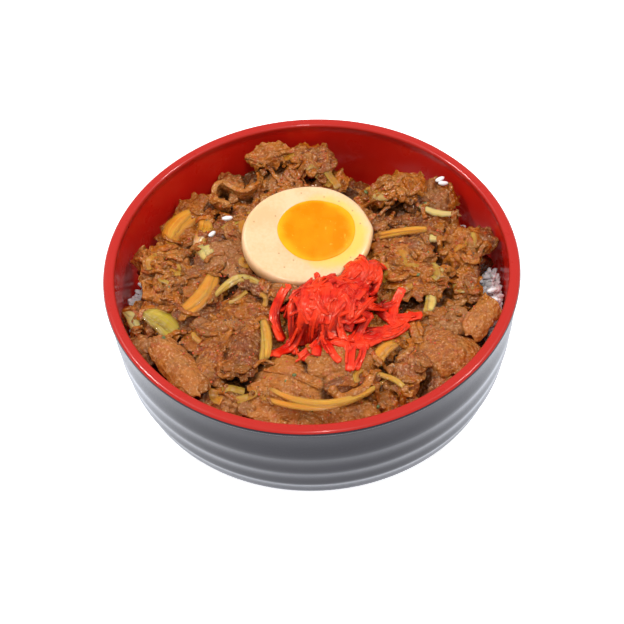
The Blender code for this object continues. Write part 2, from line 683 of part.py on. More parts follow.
def shred_curve(name, start, end, bow, thickness, collection):
    """A shred as a square-sectioned tube along a bowed line, made a closed mesh."""
    data = bpy.data.curves.new(name, "CURVE")
    data.dimensions = "3D"
    data.bevel_depth = thickness / 2.0 * MM
    data.bevel_resolution = 0
    data.use_fill_caps = True
    spline = data.splines.new("POLY")
    count = 5
    spline.points.add(count - 1)
    start, end = Vector(start), Vector(end)
    side = (end - start).cross(Vector((0.0, 0.0, 1.0))).normalized()
    for index, point in enumerate(spline.points):
        share = index / (count - 1)
        arch = 4.0 * share * (1.0 - share)
        place = start.lerp(end, share) + side * bow * arch + Vector((0.0, 0.0, 1.6 * arch))
        point.co = (*((place + Vector((0.0, 0.0, RIM_HEIGHT))) * MM), 1.0)
        point.radius = 0.75 + 0.35 * arch
    tube = bpy.data.objects.new(name, data)
    collection.objects.link(tube)
    bpy.context.view_layer.update()
    mesh = bpy.data.meshes.new_from_object(tube.evaluated_get(bpy.context.evaluated_depsgraph_get()))
    bpy.data.objects.remove(tube, do_unlink=True)
    bm = bmesh.new()
    bm.from_mesh(mesh)
    bpy.data.meshes.remove(mesh)
    bmesh.ops.remove_doubles(bm, verts=bm.verts, dist=0.001 * MM)
    bmesh.ops.triangulate(bm, faces=bm.faces)
    return object_from_bmesh(bm, name, collection)


def make_ginger(parts, pieces):
    material = finish_material("red_ginger", (0.90, 0.05, 0.03), 0.3)
    bm = bmesh.new()
    bmesh.ops.create_uvsphere(bm, u_segments=10, v_segments=6, radius=1.0)
    for vert in bm.verts:
        lump = 1.0 + 0.25 * noise.noise(vert.co * 2.0 + Vector((5.0, 0.0, 0.0)))
        size = Vector(GINGER_CORE) * lump
        place = Vector([a * b for a, b in zip(vert.co, size)])
        place.z = max(place.z, -3.5)
        vert.co = (place + Vector(GINGER_PLACE) + Vector((0.0, 0.0, RIM_HEIGHT))) * MM
    bmesh.ops.triangulate(bm, faces=bm.faces)
    ginger = object_from_bmesh(bm, "red_ginger", parts, material)
    for index, (start, end, bow) in enumerate(SHREDS):
        shred_curve(f"shred_{index}", start, end, bow, SHRED_THICKNESS, pieces)
    combine(ginger, "UNION", pieces)
    empty_out(pieces)
    return ginger


def trim(obj, cutters):
    """Cuts obj by the cutters, keeps its main body and empties the collection."""
    combine(obj, "DIFFERENCE", cutters)
    keep_main_body(obj)


def build():
    clear_scene()
    parts = new_collection("gyudon")
    pieces = new_collection("pieces")
    cutters = new_collection("cutters")
    room = new_collection("room")

    make_bowl(parts)
    cavity_body(room)
    apply_modifiers(room.objects[0])
    rice = make_rice(parts, pieces)
    combine(rice, "INTERSECT", room)
    keep_main_body(rice)
    beef = make_beef_mound(parts, pieces)
    combine(beef, "INTERSECT", room)

    make_egg(parts, pieces)
    solid_egg = half_ball(EGG_LENGTH, EGG_WIDTH, EGG_WIDTH / 2.0, EGG_POINT, 20, 12)
    place_half_ball(solid_egg, "egg_outline", pieces)
    inflated_twin(pieces.objects[0], GAP * 1.4, cutters)
    empty_out(pieces)

    rice_room = inflated_twin(rice, GAP, cutters)
    trim(beef, cutters)
    bpy.data.objects.remove(rice_room, do_unlink=True)
    inflated_twin(beef, GAP, cutters)

    ginger = make_ginger(parts, pieces)
    trim(ginger, cutters)
    inflated_twin(ginger, GAP, cutters)

    for onion in make_onions(parts, beef):
        trim(onion, cutters)
        inflated_twin(onion, GAP, cutters)

    for collection in (pieces, cutters, room):
        empty_out(collection)
        bpy.data.collections.remove(collection)


build()
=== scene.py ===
"""Gyudon as it is served: a red and charcoal melamine bowl of rice under simmered beef and onion, with half
a soft-boiled egg and a tangle of red pickled ginger.

Lengths in the tables are millimetres, and heights of the food are from the plane of the bowl's rim, as in
the part's source. Every piece is made in metres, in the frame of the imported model.
"""

import math
import random
from collections import namedtuple

import bpy
import numpy as np
from mathutils import Matrix, Vector, noise


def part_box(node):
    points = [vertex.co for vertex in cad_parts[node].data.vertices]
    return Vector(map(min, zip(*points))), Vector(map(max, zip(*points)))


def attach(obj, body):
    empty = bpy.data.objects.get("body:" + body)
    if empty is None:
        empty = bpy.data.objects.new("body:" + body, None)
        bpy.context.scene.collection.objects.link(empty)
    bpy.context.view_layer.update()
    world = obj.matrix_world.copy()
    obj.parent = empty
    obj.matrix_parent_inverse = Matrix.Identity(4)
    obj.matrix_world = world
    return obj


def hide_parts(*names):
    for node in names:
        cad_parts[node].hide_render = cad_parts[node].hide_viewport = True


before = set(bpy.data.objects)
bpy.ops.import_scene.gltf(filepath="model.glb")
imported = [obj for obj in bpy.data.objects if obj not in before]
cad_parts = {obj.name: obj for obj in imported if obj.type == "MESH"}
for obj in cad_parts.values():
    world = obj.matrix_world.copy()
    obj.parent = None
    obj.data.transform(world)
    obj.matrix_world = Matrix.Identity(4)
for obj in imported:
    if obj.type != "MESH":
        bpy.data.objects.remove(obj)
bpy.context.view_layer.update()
bpy.ops.object.select_all(action="DESELECT")
MM = 0.001
RIM_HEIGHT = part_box("bowl")[1].z / MM


# The camera looks down at the bowl from the front, at about 49 degrees, from 60 cm away, with a lens that
# fills two thirds of the frame's width with the bowl. Three soft boxes and a bright room light it.
# Places in this section are in metres, and turns in radians.
CAMERA_PLACE = (0.0, -0.39687, 0.526)
CAMERA_TURN = (0.686126, 0.036169, -0.042325)
LENS = 82.05
# Each soft box: its name, its place and size, and its power in watts
SOFT_BOXES = (
    ("soft_box_left", (-0.50, 0.25, 0.85), 0.13, 4.7),
    ("soft_box_right", (0.52, 0.10, 0.85), 0.12, 2.9),
    ("soft_box_front", (0.02, -0.46, 0.92), 0.10, 2.6),
)
LIT_PLACE = (0.0, 0.0, 0.06)

bpy.ops.object.camera_add(location=CAMERA_PLACE, rotation=CAMERA_TURN)
camera = bpy.context.object
camera.data.sensor_width = 36.0
camera.data.lens = LENS
scene = bpy.context.scene
scene.camera = camera
scene.view_settings.view_transform = "Standard"

for name, place, size, power in SOFT_BOXES:
    bpy.ops.object.light_add(type="AREA", location=place)
    lamp = bpy.context.object
    lamp.name = name
    lamp.data.size = size
    lamp.data.energy = power
    aim = Vector(LIT_PLACE) - Vector(place)
    lamp.rotation_euler = aim.to_track_quat("-Z", "Y").to_euler()


# The table is a plain white sheet, so bright that the bowl hardly casts a shadow on it. The room round it is
# white too, and brighter overhead than at the height of the table.
class Shade:
    """A socket of a material. Sums and products of shades add the nodes that work them out."""

    def __init__(self, finish, socket):
        self.finish = finish
        self.socket = socket

    def sum_up(self, operation, *values):
        return self.finish.node("Math", {"operation": operation}, dict(enumerate(values)))

    def __add__(self, other):
        return self.sum_up("ADD", self, other)

    def __sub__(self, other):
        return self.sum_up("SUBTRACT", self, other)

    def __rsub__(self, other):
        return self.sum_up("SUBTRACT", other, self)

    def __mul__(self, other):
        return self.sum_up("MULTIPLY", self, other)

    __radd__ = __add__
    __rmul__ = __mul__

    def ramp(self, low, high, first=0.0, last=1.0):
        """A smooth step: first below low and last above high."""
        sockets = {0: self, 1: low, 2: high, 3: first, 4: last}
        return self.finish.node("MapRange", {"interpolation_type": "SMOOTHSTEP"}, sockets)


class Finish:
    """A material, or the room's light: its surface shader, and one method that adds any other node."""

    def __init__(self, name, room=None, **constants):
        self.material = room or bpy.data.materials.new(name)
        self.material.use_nodes = True
        self.nodes = self.material.node_tree.nodes
        self.links = self.material.node_tree.links
        self.surface = self.nodes["Background" if room else "Principled BSDF"]
        for words, value in constants.items():
            self.set(words.replace("_", " ").title().replace("Ior", "IOR"), value)

    def node(self, kind, settings=None, sockets=None, output=0):
        made = self.nodes.new("ShaderNode" + kind)
        for words, value in (settings or {}).items():
            setattr(made, words, value)
        for place, value in (sockets or {}).items():
            self.feed(made.inputs[place], value)
        return Shade(self, made.outputs[output])

    def feed(self, socket, value):
        if isinstance(value, Shade):
            self.links.new(value.socket, socket)
        elif isinstance(value, tuple) and len(value) == 3 and socket.type == "RGBA":
            socket.default_value = (*value, 1.0)
        else:
            socket.default_value = value

    def set(self, socket, value):
        self.feed(self.surface.inputs[socket], value)

    def blend(self, share, first, second):
        """A colour between two, by a share from 0 to 1."""
        sockets = {0: share, 6: first, 7: second}
        return self.node("Mix", {"data_type": "RGBA"}, sockets, 2)

    def layer(self, colour, *coats):
        """A colour with others laid over it in turn, each coat a share from 0 to 1 and a colour."""
        for share, over in coats:
            colour = self.blend(share, colour, over)
        return colour

    def place(self):
        return self.node("TexCoord", output="Object")

    def height(self, vector=None):
        """The third number of a vector, or of the point's place."""
        return self.node("SeparateXYZ", sockets={0: vector or self.place()}, output=2)

    def lay(self, name, output="Vector"):
        """A value or vector kept on the piece's points."""
        return self.node("Attribute", {"attribute_name": name}, output=output)

    def stretch(self, vector, by):
        return self.node("VectorMath", {"operation": "MULTIPLY"}, {0: vector, 1: by})

    def distance(self, vector, place):
        return self.node("VectorMath", {"operation": "DISTANCE"}, {0: vector, 1: place}, 1)

    def grain(self, size, detail=3.0, rough=0.5, vector=None, twist=0.0):
        """Cloudy noise from 0 to 1 whose lumps are about size long, in the vector's unit."""
        settings = {"Scale": 1.0 / size, "Detail": detail, "Roughness": rough, "Distortion": twist}
        settings["Vector"] = vector or self.place()
        return self.node("TexNoise", sockets=settings)

    def bump(self, height, depth, strength=1.0):
        """Tilts the surface by a height from 0 to 1 that stands for a depth in metres."""
        sockets = {"Height": height, "Distance": depth, "Strength": strength}
        self.set("Normal", self.node("Bump", sockets=sockets))


ROOM_LIGHT_LOW = 0.34
ROOM_LIGHT_HIGH = 0.62
TABLE_SIZE = 40.0

scene.world = bpy.data.worlds.new("room")
room = Finish("room", scene.world, color=(1.0, 1.0, 1.0))
upward = room.height(room.node("TexCoord", output="Generated"))
room.set("Strength", upward.ramp(0.0, 0.9, ROOM_LIGHT_LOW, ROOM_LIGHT_HIGH))

bpy.ops.mesh.primitive_plane_add(size=TABLE_SIZE)
table = bpy.context.object
table.name = "table"
white = Finish("white_sweep", roughness=0.7, emission_color=(1.0, 1.0, 1.0), emission_strength=0.8)
tone = white.grain(0.4, detail=2.0)
white.set("Base Color", white.blend(tone, (0.92, 0.92, 0.92), (0.95, 0.95, 0.95)))
table.data.materials.append(white.material)


# The bowl is moulded in melamine: glossy red lacquer inside and over the lip, satin charcoal outside, where
# five shallow flutes run round the wall, and a plain foot ring under it.
RIM_RADIUS = 88.0
WALL = 4.0
LIP_HEIGHT = 2.6
LIP_WIDTH = 5.2
# How far down the outside the red lacquer reaches
RED_DEPTH = 0.8
FOOT_RADIUS = 49.0
FOOT_HEIGHT = 4.8
FLOOR = 3.7
# The crests between the flutes from the lip down, as radius and height
FLUTE_CRESTS = ((86.8, 56.3), (86.0, 44.8), (84.7, 34.6), (82.2, 26.0), (77.0, 18.4))
# The inner wall from the floor up, as radius and height
CAVITY = ((40.0, 8.8), (58.0, 10.8), (70.5, 17.0), (78.0, 26.5), (81.2, 38.0), (82.9, 55.0), (83.9, 72.0))
FLUTE_DEPTH = 0.42
BOWL_STEPS = 240
# How far outside the inner wall a face belongs to the charcoal, and the height under which every face does
SKIN = 1.0
UNDERSIDE = FOOT_HEIGHT + 1.3


def round_through(points, steps):
    """A smooth line through points, with some steps between each two."""
    ends = [points[0], *points, points[-1]]
    line = []
    for before, start, end, after in zip(ends, ends[1:], ends[2:], ends[3:]):
        for step in range(steps):
            share = step / steps
            place = []
            for a, b, c, d in zip(before, start, end, after):
                first = 2.0 * b + (c - a) * share
                second = (2.0 * a - 5.0 * b + 4.0 * c - d) * share**2
                third = (3.0 * b - a - 3.0 * c + d) * share**3
                place.append((first + second + third) / 2.0)
            line.append(tuple(place))
    return line + [points[-1]]


def cavity_radius(height):
    """Radius of the bowl's inner wall at a height above the table."""
    radii, levels = zip(*CAVITY)
    return np.interp(height, levels, radii)


def quarter(centre, radius, start, steps=5):
    """A quarter circle about (radius, height), turning clockwise from an angle in degrees."""
    turns = [math.radians(start - 90.0 * step / steps) for step in range(steps + 1)]
    return [(centre[0] + radius * math.cos(turn), centre[1] + radius * math.sin(turn)) for turn in turns]


def bowl_line():
    """The section of the bowl, from the middle of its inside over the lip to the middle of its foot."""
    inside = round_through([(0.0, FOOT_HEIGHT + FLOOR), *CAVITY], 6)
    lip = quarter((RIM_RADIUS - LIP_WIDTH + 1.6, RIM_HEIGHT - 1.4), 1.4, 180.0)
    lip += quarter((RIM_RADIUS - 1.8, RIM_HEIGHT - 1.8), 1.8, 90.0, 8)
    lip += quarter((RIM_RADIUS - 0.8, RIM_HEIGHT - LIP_HEIGHT + 0.8), 0.8, 0.0)
    radius, height = RIM_RADIUS - 1.3, RIM_HEIGHT - LIP_HEIGHT
    outside = [(radius, height)]
    for crest_radius, crest_height in FLUTE_CRESTS:
        for step in range(1, 11):
            share = step / 10.0
            hollow = FLUTE_DEPTH * math.sin(math.pi * share**0.9) ** 1.6
            place = radius + (crest_radius - radius) * share - hollow
            outside.append((place, height + (crest_height - height) * share))
        radius, height = crest_radius, crest_height
    foot_top = (FOOT_RADIUS + 1.6, FOOT_HEIGHT + 1.2)
    under = round_through([FLUTE_CRESTS[-1], (70.0, 12.0), (60.0, 7.8), foot_top], 5)
    foot = [
        (FOOT_RADIUS + 0.2, FOOT_HEIGHT),
        (FOOT_RADIUS, 0.8),
        (FOOT_RADIUS - 0.8, 0.0),
        (FOOT_RADIUS - 4.2, 0.0),
        (FOOT_RADIUS - 5.0, 0.8),
        (FOOT_RADIUS - 5.0, FOOT_HEIGHT),
        (0.0, FOOT_HEIGHT),
    ]
    return inside + lip + outside + under[1:] + foot


def line_object(name, points):
    """A line of (radius, height) points as a mesh of edges, selected and active."""
    mesh = bpy.data.meshes.new(name)
    corners = [(radius * MM, 0.0, height * MM) for radius, height in points]
    mesh.from_pydata(corners, [(index, index + 1) for index in range(len(corners) - 1)], [])
    made = bpy.data.objects.new(name, mesh)
    scene.collection.objects.link(made)
    bpy.ops.object.select_all(action="DESELECT")
    bpy.context.view_layer.objects.active = made
    made.select_set(True)
    return made


def serve(piece, finish, node=None):
    """Gives a piece its finish, and says what it rides on and the node that it stands for."""
    piece.data.materials.append(finish.material)
    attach(piece, "root")
    if node:
        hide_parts(node)


bowl = line_object("donburi_bowl", bowl_line())
bpy.ops.object.mode_set(mode="EDIT")
bpy.ops.mesh.select_all(action="SELECT")
bpy.ops.mesh.spin(steps=BOWL_STEPS, angle=math.tau, center=(0.0, 0.0, 0.0), axis=(0.0, 0.0, 1.0))
bpy.ops.mesh.select_all(action="SELECT")
bpy.ops.mesh.remove_doubles(threshold=0.00002)
bpy.ops.mesh.normals_make_consistent(inside=False)
bpy.ops.object.mode_set(mode="OBJECT")
bpy.ops.object.shade_smooth_by_angle(angle=math.radians(32.0))

lacquer = Finish("red_lacquer", coat_weight=0.34, coat_roughness=0.06, specular_ior_level=0.2)
paint = lacquer.blend(lacquer.grain(0.045, detail=2.0), (0.60, 0.010, 0.004), (0.70, 0.014, 0.006))
# Painted shade: the red is darker over the top of the lip, where the light from above falls strongest
lip_share = lacquer.height().ramp(0.0705, 0.0745)
lacquer.set("Base Color", lacquer.blend(lip_share, paint, (0.46, 0.014, 0.008)))
lacquer.set("Roughness", lacquer.grain(0.012).ramp(0.3, 0.7, 0.26, 0.36))
lacquer.bump(lacquer.grain(0.0006, detail=2.0), 0.00001, 0.4)

charcoal = Finish(
    "charcoal_satin", coat_weight=0.08, coat_roughness=0.2, specular_ior_level=0.17,
    sheen_weight=0.52, sheen_roughness=0.33, sheen_tint=(0.80, 0.86, 1.0),
)
speck = charcoal.grain(0.0009, detail=4.0, rough=0.7)
streak = charcoal.grain(0.02, detail=3.0, vector=charcoal.stretch(charcoal.place(), (1.0, 1.0, 6.0)))
charcoal.set("Base Color", charcoal.layer(
    charcoal.blend(streak, (0.008, 0.007, 0.013), (0.014, 0.013, 0.023)),
    # Painted reflection: the charcoal is a lighter blue-grey towards the foot, for the bright table seen in
    # it
    (charcoal.height().ramp(0.013, 0.033, 1.0, 0.0), (0.090, 0.093, 0.120)),
    (speck.ramp(0.55, 0.75, 0.0, 0.35), (0.035, 0.035, 0.045)),
))
charcoal.set("Roughness", speck.ramp(0.3, 0.8, 0.28, 0.42))
charcoal.bump(speck, 0.00004, 0.5)

serve(bowl, lacquer, "bowl")
bowl.data.materials.append(charcoal.material)
for face in bowl.data.polygons:
    radius = math.hypot(face.center.x, face.center.y) / MM
    height = face.center.z / MM
    outer = radius > cavity_radius(height) + SKIN or height < UNDERSIDE
    face.material_index = 1 if height < RIM_HEIGHT - RED_DEPTH and outer else 0


# The rice is plain steamed short grain. It fills the foot of the bowl and shows along the wall, a low bed
# with a skin of whole grains, and a few stray grains cling to the beef above it.
RICE_LEVEL = -35.0
RICE_CLIMB = 10.0
GRAIN_LENGTH = 5.6
GRAIN_THICKNESS = 2.3
GRAINS = 1150
# The loose grains lie in a band along the wall: how far its outer edge is from the wall, and how wide it is
BAND_START = 2.2
BAND_WIDTH = 16.0
# A place at the back that the meat covers down to the bed, which needs no grains: x, y and radius
COVERED_PLACE = (26.0, 72.0, 12.0)
# How far the outermost grains keep from the wall
GRAIN_CLEARANCE = 0.1
# Places along the wall where the rice is heaped up: x, y, the height it reaches, how wide, grains
RICE_MOUNDS = (
    (78.0, 1.0, -17.0, 5.5, 70),
    (76.5, -11.0, -12.0, 5.5, 80),
    (-77.5, 5.0, -25.0, 5.0, 46),
    (-79.0, -9.0, -31.0, 5.0, 26),
)
# Single grains that lie on the beef: x, y, height, heading, tilt
STRAY_GRAINS = (
    (59.5, 49.0, -5.4, 34.0, 8.0),
    (60.8, 47.2, -6.2, 18.0, 20.0),
    (-35.6, 32.6, -5.6, 20.0, 15.0),
    (-42.4, 24.8, -8.6, 60.0, 20.0),
    (24.6, 10.2, -3.0, 62.0, 30.0),
)


def rice_top(x, y):
    """Height of the rice from the plane of the rim."""
    return RICE_LEVEL + RICE_CLIMB * np.maximum(0.0, x / RIM_RADIUS) ** 2


def cavity_floor(radius):
    """Height above the table of the bowl's inner wall at a radius."""
    radii, levels = zip((0.0, FOOT_HEIGHT + FLOOR), *CAVITY, (RIM_RADIUS - WALL + 0.2, RIM_HEIGHT))
    return np.interp(radius, radii, levels)


def ripple(x, y, z):
    """Smooth noise from -1 to 1 at many points."""
    x, y, z = np.broadcast_arrays(x, y, z)
    values = [noise.noise(place) for place in zip(x.tolist(), y.tolist(), z.tolist())]
    return np.array(values)


def points_of(piece):
    flat = np.empty(len(piece.data.vertices) * 3, dtype=np.float32)
    piece.data.vertices.foreach_get("co", flat)
    return flat.reshape(-1, 3).astype(float)


def move_points(piece, points):
    piece.data.vertices.foreach_set("co", np.asarray(points, dtype=np.float32).ravel())
    piece.data.update()


def modify(piece, kind, **settings):
    """Adds a modifier with its settings to the piece and applies it."""
    step = piece.modifiers.new(kind.lower(), kind)
    for words, value in settings.items():
        setattr(step, words, value)
    bpy.context.view_layer.objects.active = piece
    bpy.ops.object.modifier_apply(modifier=step.name)


def reshaped_ball(name, segments, rings, outline, top, bottom):
    """A ball pressed into a mound: its upper half follows top(x, y, share) and its lower half bottom."""
    bpy.ops.mesh.primitive_uv_sphere_add(segments=segments, ring_count=rings, radius=1.0)
    mound = bpy.context.object
    mound.name = name
    ball = points_of(mound)
    level = np.minimum(1.0, np.hypot(ball[:, 0], ball[:, 1]))
    angle = np.arctan2(ball[:, 1], ball[:, 0])
    share = 2.0 / math.pi * np.arcsin(level)
    radius = outline(angle) * share
    x, y = radius * np.cos(angle), radius * np.sin(angle)
    height = np.where(ball[:, 2] > 1e-4, top(x, y, share), bottom(x, y, share))
    move_points(mound, np.column_stack((x, y, RIM_HEIGHT + height)) * MM)
    bpy.ops.object.shade_smooth()
    return mound


def join_copies(name, faces, clouds):
    """One piece of many copies: the same faces over each cloud of points, which are in millimetres."""
    size = len(clouds[0])
    points = np.concatenate(clouds) * MM
    corners = np.concatenate([faces + size * index for index in range(len(clouds))])
    mesh = bpy.data.meshes.new(name)
    mesh.from_pydata(points.tolist(), [], corners.tolist())
    made = bpy.data.objects.new(name, mesh)
    scene.collection.objects.link(made)
    mesh.shade_smooth()
    bpy.context.view_layer.objects.active = made
    return made


def pattern_piece():
    """The points and faces of the active piece, which was only a pattern for copies and is removed."""
    piece = bpy.context.object
    points = points_of(piece)
    faces = np.array([list(face.vertices) for face in piece.data.polygons])
    bpy.data.objects.remove(piece, do_unlink=True)
    return points, faces


def rice_outline(angle):
    x = RIM_RADIUS * np.cos(angle)
    return cavity_radius(RIM_HEIGHT + rice_top(x, 0.0) - 1.5) - 0.6


def rice_skin(x, y, share):
    lumps = 0.7 * ripple(x / 9.0, y / 9.0, 3.0) + 0.5 * ripple(x / 2.6, y / 2.6, 9.0)
    return rice_top(x, y) + lumps * np.minimum(1.0, (1.0 - share) * 6.0)


def rice_foot(x, y, share):
    return cavity_floor(np.hypot(x, y)) - RIM_HEIGHT + 0.8


def grain_at(shape, place, heading, tilt, size):
    lie = Matrix.Rotation(math.radians(heading), 3, "Z") @ Matrix.Rotation(math.radians(tilt), 3, "Y")
    return (shape * size) @ np.array(lie).T + np.array(place)


bpy.ops.mesh.primitive_cube_add(size=1.0)
bpy.ops.object.mode_set(mode="EDIT")
bpy.ops.mesh.subdivide(number_cuts=2)
bpy.ops.transform.tosphere(value=1.0)
bpy.ops.object.mode_set(mode="OBJECT")
grain_points, grain_faces = pattern_piece()
grain_points /= np.linalg.norm(grain_points, axis=1)[0]
grain_points *= (GRAIN_LENGTH / 2.0, GRAIN_THICKNESS / 2.0, GRAIN_THICKNESS / 2.2)
grain_points[:, 2] += 0.25 * (grain_points[:, 0] / (GRAIN_LENGTH / 2.0)) ** 2

draw = random.Random(7)
grains = []
band_edge = float(cavity_radius(RIM_HEIGHT + RICE_LEVEL + 6.0)) - BAND_START
while len(grains) < GRAINS:
    angle = draw.uniform(0.0, math.tau)
    radius = band_edge - BAND_WIDTH * draw.random() ** 1.3
    x, y = radius * math.cos(angle), radius * math.sin(angle)
    if math.hypot(x - COVERED_PLACE[0], y - COVERED_PLACE[1]) < COVERED_PLACE[2]:
        continue
    height = RIM_HEIGHT + float(rice_top(x, y)) + draw.uniform(-0.4, 1.9)
    size = draw.uniform(0.88, 1.08)
    grains.append(grain_at(grain_points, (x, y, height), draw.uniform(0, 360), draw.uniform(-24, 24), size))
for middle_x, middle_y, reach, spread, count in RICE_MOUNDS:
    bed = float(rice_top(middle_x, middle_y))
    for _ in range(count):
        x = middle_x + spread * draw.gauss(0.0, 0.6)
        y = middle_y + spread * draw.gauss(0.0, 0.8)
        off = math.hypot(x - middle_x, y - middle_y) / spread
        height = bed + (reach - bed) * max(0.0, 1.0 - 0.45 * off) * draw.uniform(0.1, 1.0)
        wall = float(cavity_radius(RIM_HEIGHT + height)) - 2.6
        pull = min(1.0, wall / math.hypot(x, y))
        place = (x * pull, y * pull, RIM_HEIGHT + height)
        grains.append(grain_at(grain_points, place, draw.uniform(0, 360), draw.uniform(-35, 35), 1.0))

steamed = Finish(
    "steamed_rice", subsurface_weight=0.35, subsurface_scale=0.0015, coat_weight=0.25,
    subsurface_radius=(1.0, 0.85, 0.7),
)
starch = steamed.grain(0.0035, detail=3.0)
steamed.set("Base Color", steamed.blend(starch.ramp(0.3, 0.7), (0.88, 0.86, 0.84), (0.97, 0.96, 0.96)))
steamed.set("Roughness", starch.ramp(0.3, 0.7, 0.30, 0.45))
steamed.bump(steamed.grain(0.0007, detail=2.0), 0.00006, 0.5)

rice_bed = reshaped_ball("rice_bed", 160, 40, rice_outline, rice_skin, rice_foot)
rice_skin_grains = join_copies("rice_grains", grain_faces, grains)
# The grains at the wall are pressed flat against it
pressed = points_of(rice_skin_grains)
limit = (cavity_radius(pressed[:, 2] / MM) - GRAIN_CLEARANCE) * MM
pressed[:, :2] *= np.minimum(1.0, limit / np.hypot(pressed[:, 0], pressed[:, 1]))[:, None]
move_points(rice_skin_grains, pressed)
for piece in (rice_bed, rice_skin_grains):
    serve(piece, steamed, "rice")


# The beef is sliced thin, simmered in soy and sugar until it curls, and heaped over the rice. Under the
# slices lies a wet bed of the same meat, dark partly as painted shade in the gaps between them. Each slice
# is a copy of one flat sheet, bent and crumpled.

# A slice: the place of its middle, its size, its heading and how far it curls along and rolls across in
# degrees, the height of its ruffles, how many waves run along it, and a number of its own for its noise.
Slice = namedtuple("Slice", "name x y z length width heading curl roll ruffle waves seed")

SLICES = (
    Slice("back_left_low", -13, 65, -8, 32, 24, 8, 100, 90, 1.8, 2, 11),
    Slice("back_left_high", -15, 70, -2, 25, 15, 15, 90, 80, 2.2, 2, 12),
    Slice("back_right", 3, 67, -3, 25, 21, -12, 90, 90, 1.8, 2, 13),
    Slice("back_small", 12, 57, -8, 15, 14, -40, 70, 80, 1.4, 2, 14),
    Slice("back_bed", -4, 50, -10, 40, 26, 5, 40, 40, 1.8, 2, 15),
    Slice("behind_curl", -33, 66, -15, 20, 14, 12, 60, 60, 1.5, 1, 16),
    Slice("far_left", -50, 53, -16, 22, 15, 28, 50, 70, 1.5, 2, 17),
    Slice("under_petal", -49, 38, -14, 30, 22, 35, 30, 30, 1.6, 2, 18),
    Slice("left_of_egg", -38, 26, -9, 30, 22, 60, 30, 40, 1.6, 2, 49),
    Slice("beside_egg", -34, 11, -4, 29, 20, 60, 60, 70, 0.6, 1, 19),
    Slice("left_lump_low", -62, 8, -12, 33, 33, 40, 100, 90, 1.6, 2, 20),
    Slice("left_lump_high", -64, 12, -7, 27, 19, 25, 80, 70, 2.6, 2, 21),
    Slice("left_lump_front", -60, -1, -7, 28, 20, 30, 80, 90, 1.8, 2, 22),
    Slice("left_inner", -46, -4, -6, 26, 24, 60, 60, 60, 1.4, 2, 51),
    Slice("middle_left", -27, -17, -3, 25, 22, 0, 70, 70, 1.2, 2, 23),
    Slice("left_flat", -46, -21, -6, 26, 20, -20, 40, 50, 1.6, 2, 24),
    Slice("left_shelf", -63, -17, -9, 26, 19, -50, 60, 60, 1.6, 2, 52),
    Slice("left_edge", -69, -31, -11, 20, 16, -55, 70, 80, 1.4, 1, 25),
    Slice("front_left_roll", -55, -48, -1.5, 35, 22, -56, 40, 170, 0.6, 1, 26),
    Slice("left_mass", -41, -32, -3, 31, 21, 12, 70, 70, 1.6, 2, 27),
    Slice("left_fold", -43, -45, -3, 24, 18, 66, 60, 130, 1.0, 1, 28),
    Slice("middle_fold", -29, -43, -1, 31, 20, 76, 70, 120, 1.0, 1, 29),
    Slice("front_left", -37, -61, -7, 24, 20, -27, 80, 70, 1.6, 2, 30),
    Slice("front_broad", -10, -59, -3, 37, 29, -8, 70, 80, 1.2, 2, 31),
    Slice("front_lobe", -13, -72, -8, 34, 16, -5, 70, 90, 1.4, 2, 32),
    Slice("centre_broad", 11, -50, 0, 31, 24, 2, 70, 90, 1.2, 1, 33),
    Slice("centre_hem", 14, -61, -2, 24, 10, 14, 50, 120, 0.6, 1, 34),
    Slice("front_right_low", 29, -65, -7, 25, 20, -5, 70, 70, 1.6, 2, 35),
    Slice("front_middle", 12, -71, -7, 31, 16, -3, 60, 80, 1.4, 2, 36),
    Slice("fat_edge", 37, -56, -3, 25, 15, 68, 60, 80, 1.2, 2, 37),
    Slice("right_broad", 53, -47, -3, 30, 23, 8, 80, 90, 0.8, 1, 38),
    Slice("right_front_rim", 50, -59, -9, 26, 14, 42, 60, 70, 1.2, 2, 53),
    Slice("right_roll", 69, -29, -4, 25, 19, 48, 70, 160, 0.6, 1, 39),
    Slice("right_inner", 51, -31, -4, 27, 23, 12, 60, 70, 1.6, 2, 41),
    Slice("under_ginger", 26, -37, -5, 34, 26, 20, 40, 50, 1.6, 2, 42),
    Slice("right_lump_low", 65, 5, -10, 35, 36, 5, 110, 100, 1.8, 2, 43),
    Slice("right_lump_high", 66, 11, -5, 29, 22, 30, 90, 80, 2.4, 2, 44),
    Slice("right_lump_front", 67, -10, -7, 27, 20, -15, 80, 90, 2.0, 2, 45),
    Slice("right_of_ginger", 44, -9, -2, 26, 24, -4, 60, 70, 1.4, 2, 46),
    Slice("right_of_egg", 41, 7, -4, 27, 20, -4, 60, 70, 0.8, 1, 47),
    Slice("right_shelf", 53, 22, -8, 30, 24, 40, 60, 60, 1.4, 2, 54),
    Slice("back_right_low", 46, 42, -9.5, 35, 31, -8, 100, 90, 1.8, 2, 48),
    Slice("back_right_high", 42, 47, -3.0, 27, 21, 8, 90, 80, 2.4, 2, 55),
    Slice("back_right_edge", 54, 42, -6, 23, 18, -60, 80, 80, 2.0, 2, 50),
)
# Slices tucked in round the egg and in the gap at the back, which show only at their edges
TUCKED_SLICES = (
    Slice("by_egg_left", -30, 3, -1.0, 20, 13, 75, 60, 90, 1.2, 1, 61),
    Slice("by_egg_front", -23, -8, -0.5, 22, 13, -35, 60, 80, 1.2, 1, 62),
    Slice("by_egg_tip", -12, -14, 0.5, 18, 12, -15, 60, 80, 1.2, 1, 63),
    Slice("back_gap", 22, 54, -20, 24, 16, 5, 40, 40, 1.4, 1, 67),
    Slice("back_gap_low", 24, 69, -30.0, 24, 12, -20, 20, 20, 1.0, 1, 68),
    Slice("by_egg_right", 33, 3, -3, 18, 13, 60, 60, 80, 1.4, 1, 64),
    Slice("by_egg_back", 24, 29, -6, 24, 15, -30, 60, 80, 1.6, 1, 65),
    Slice("by_egg_corner", -27, 28, -5, 22, 14, 40, 60, 80, 1.6, 1, 66),
)
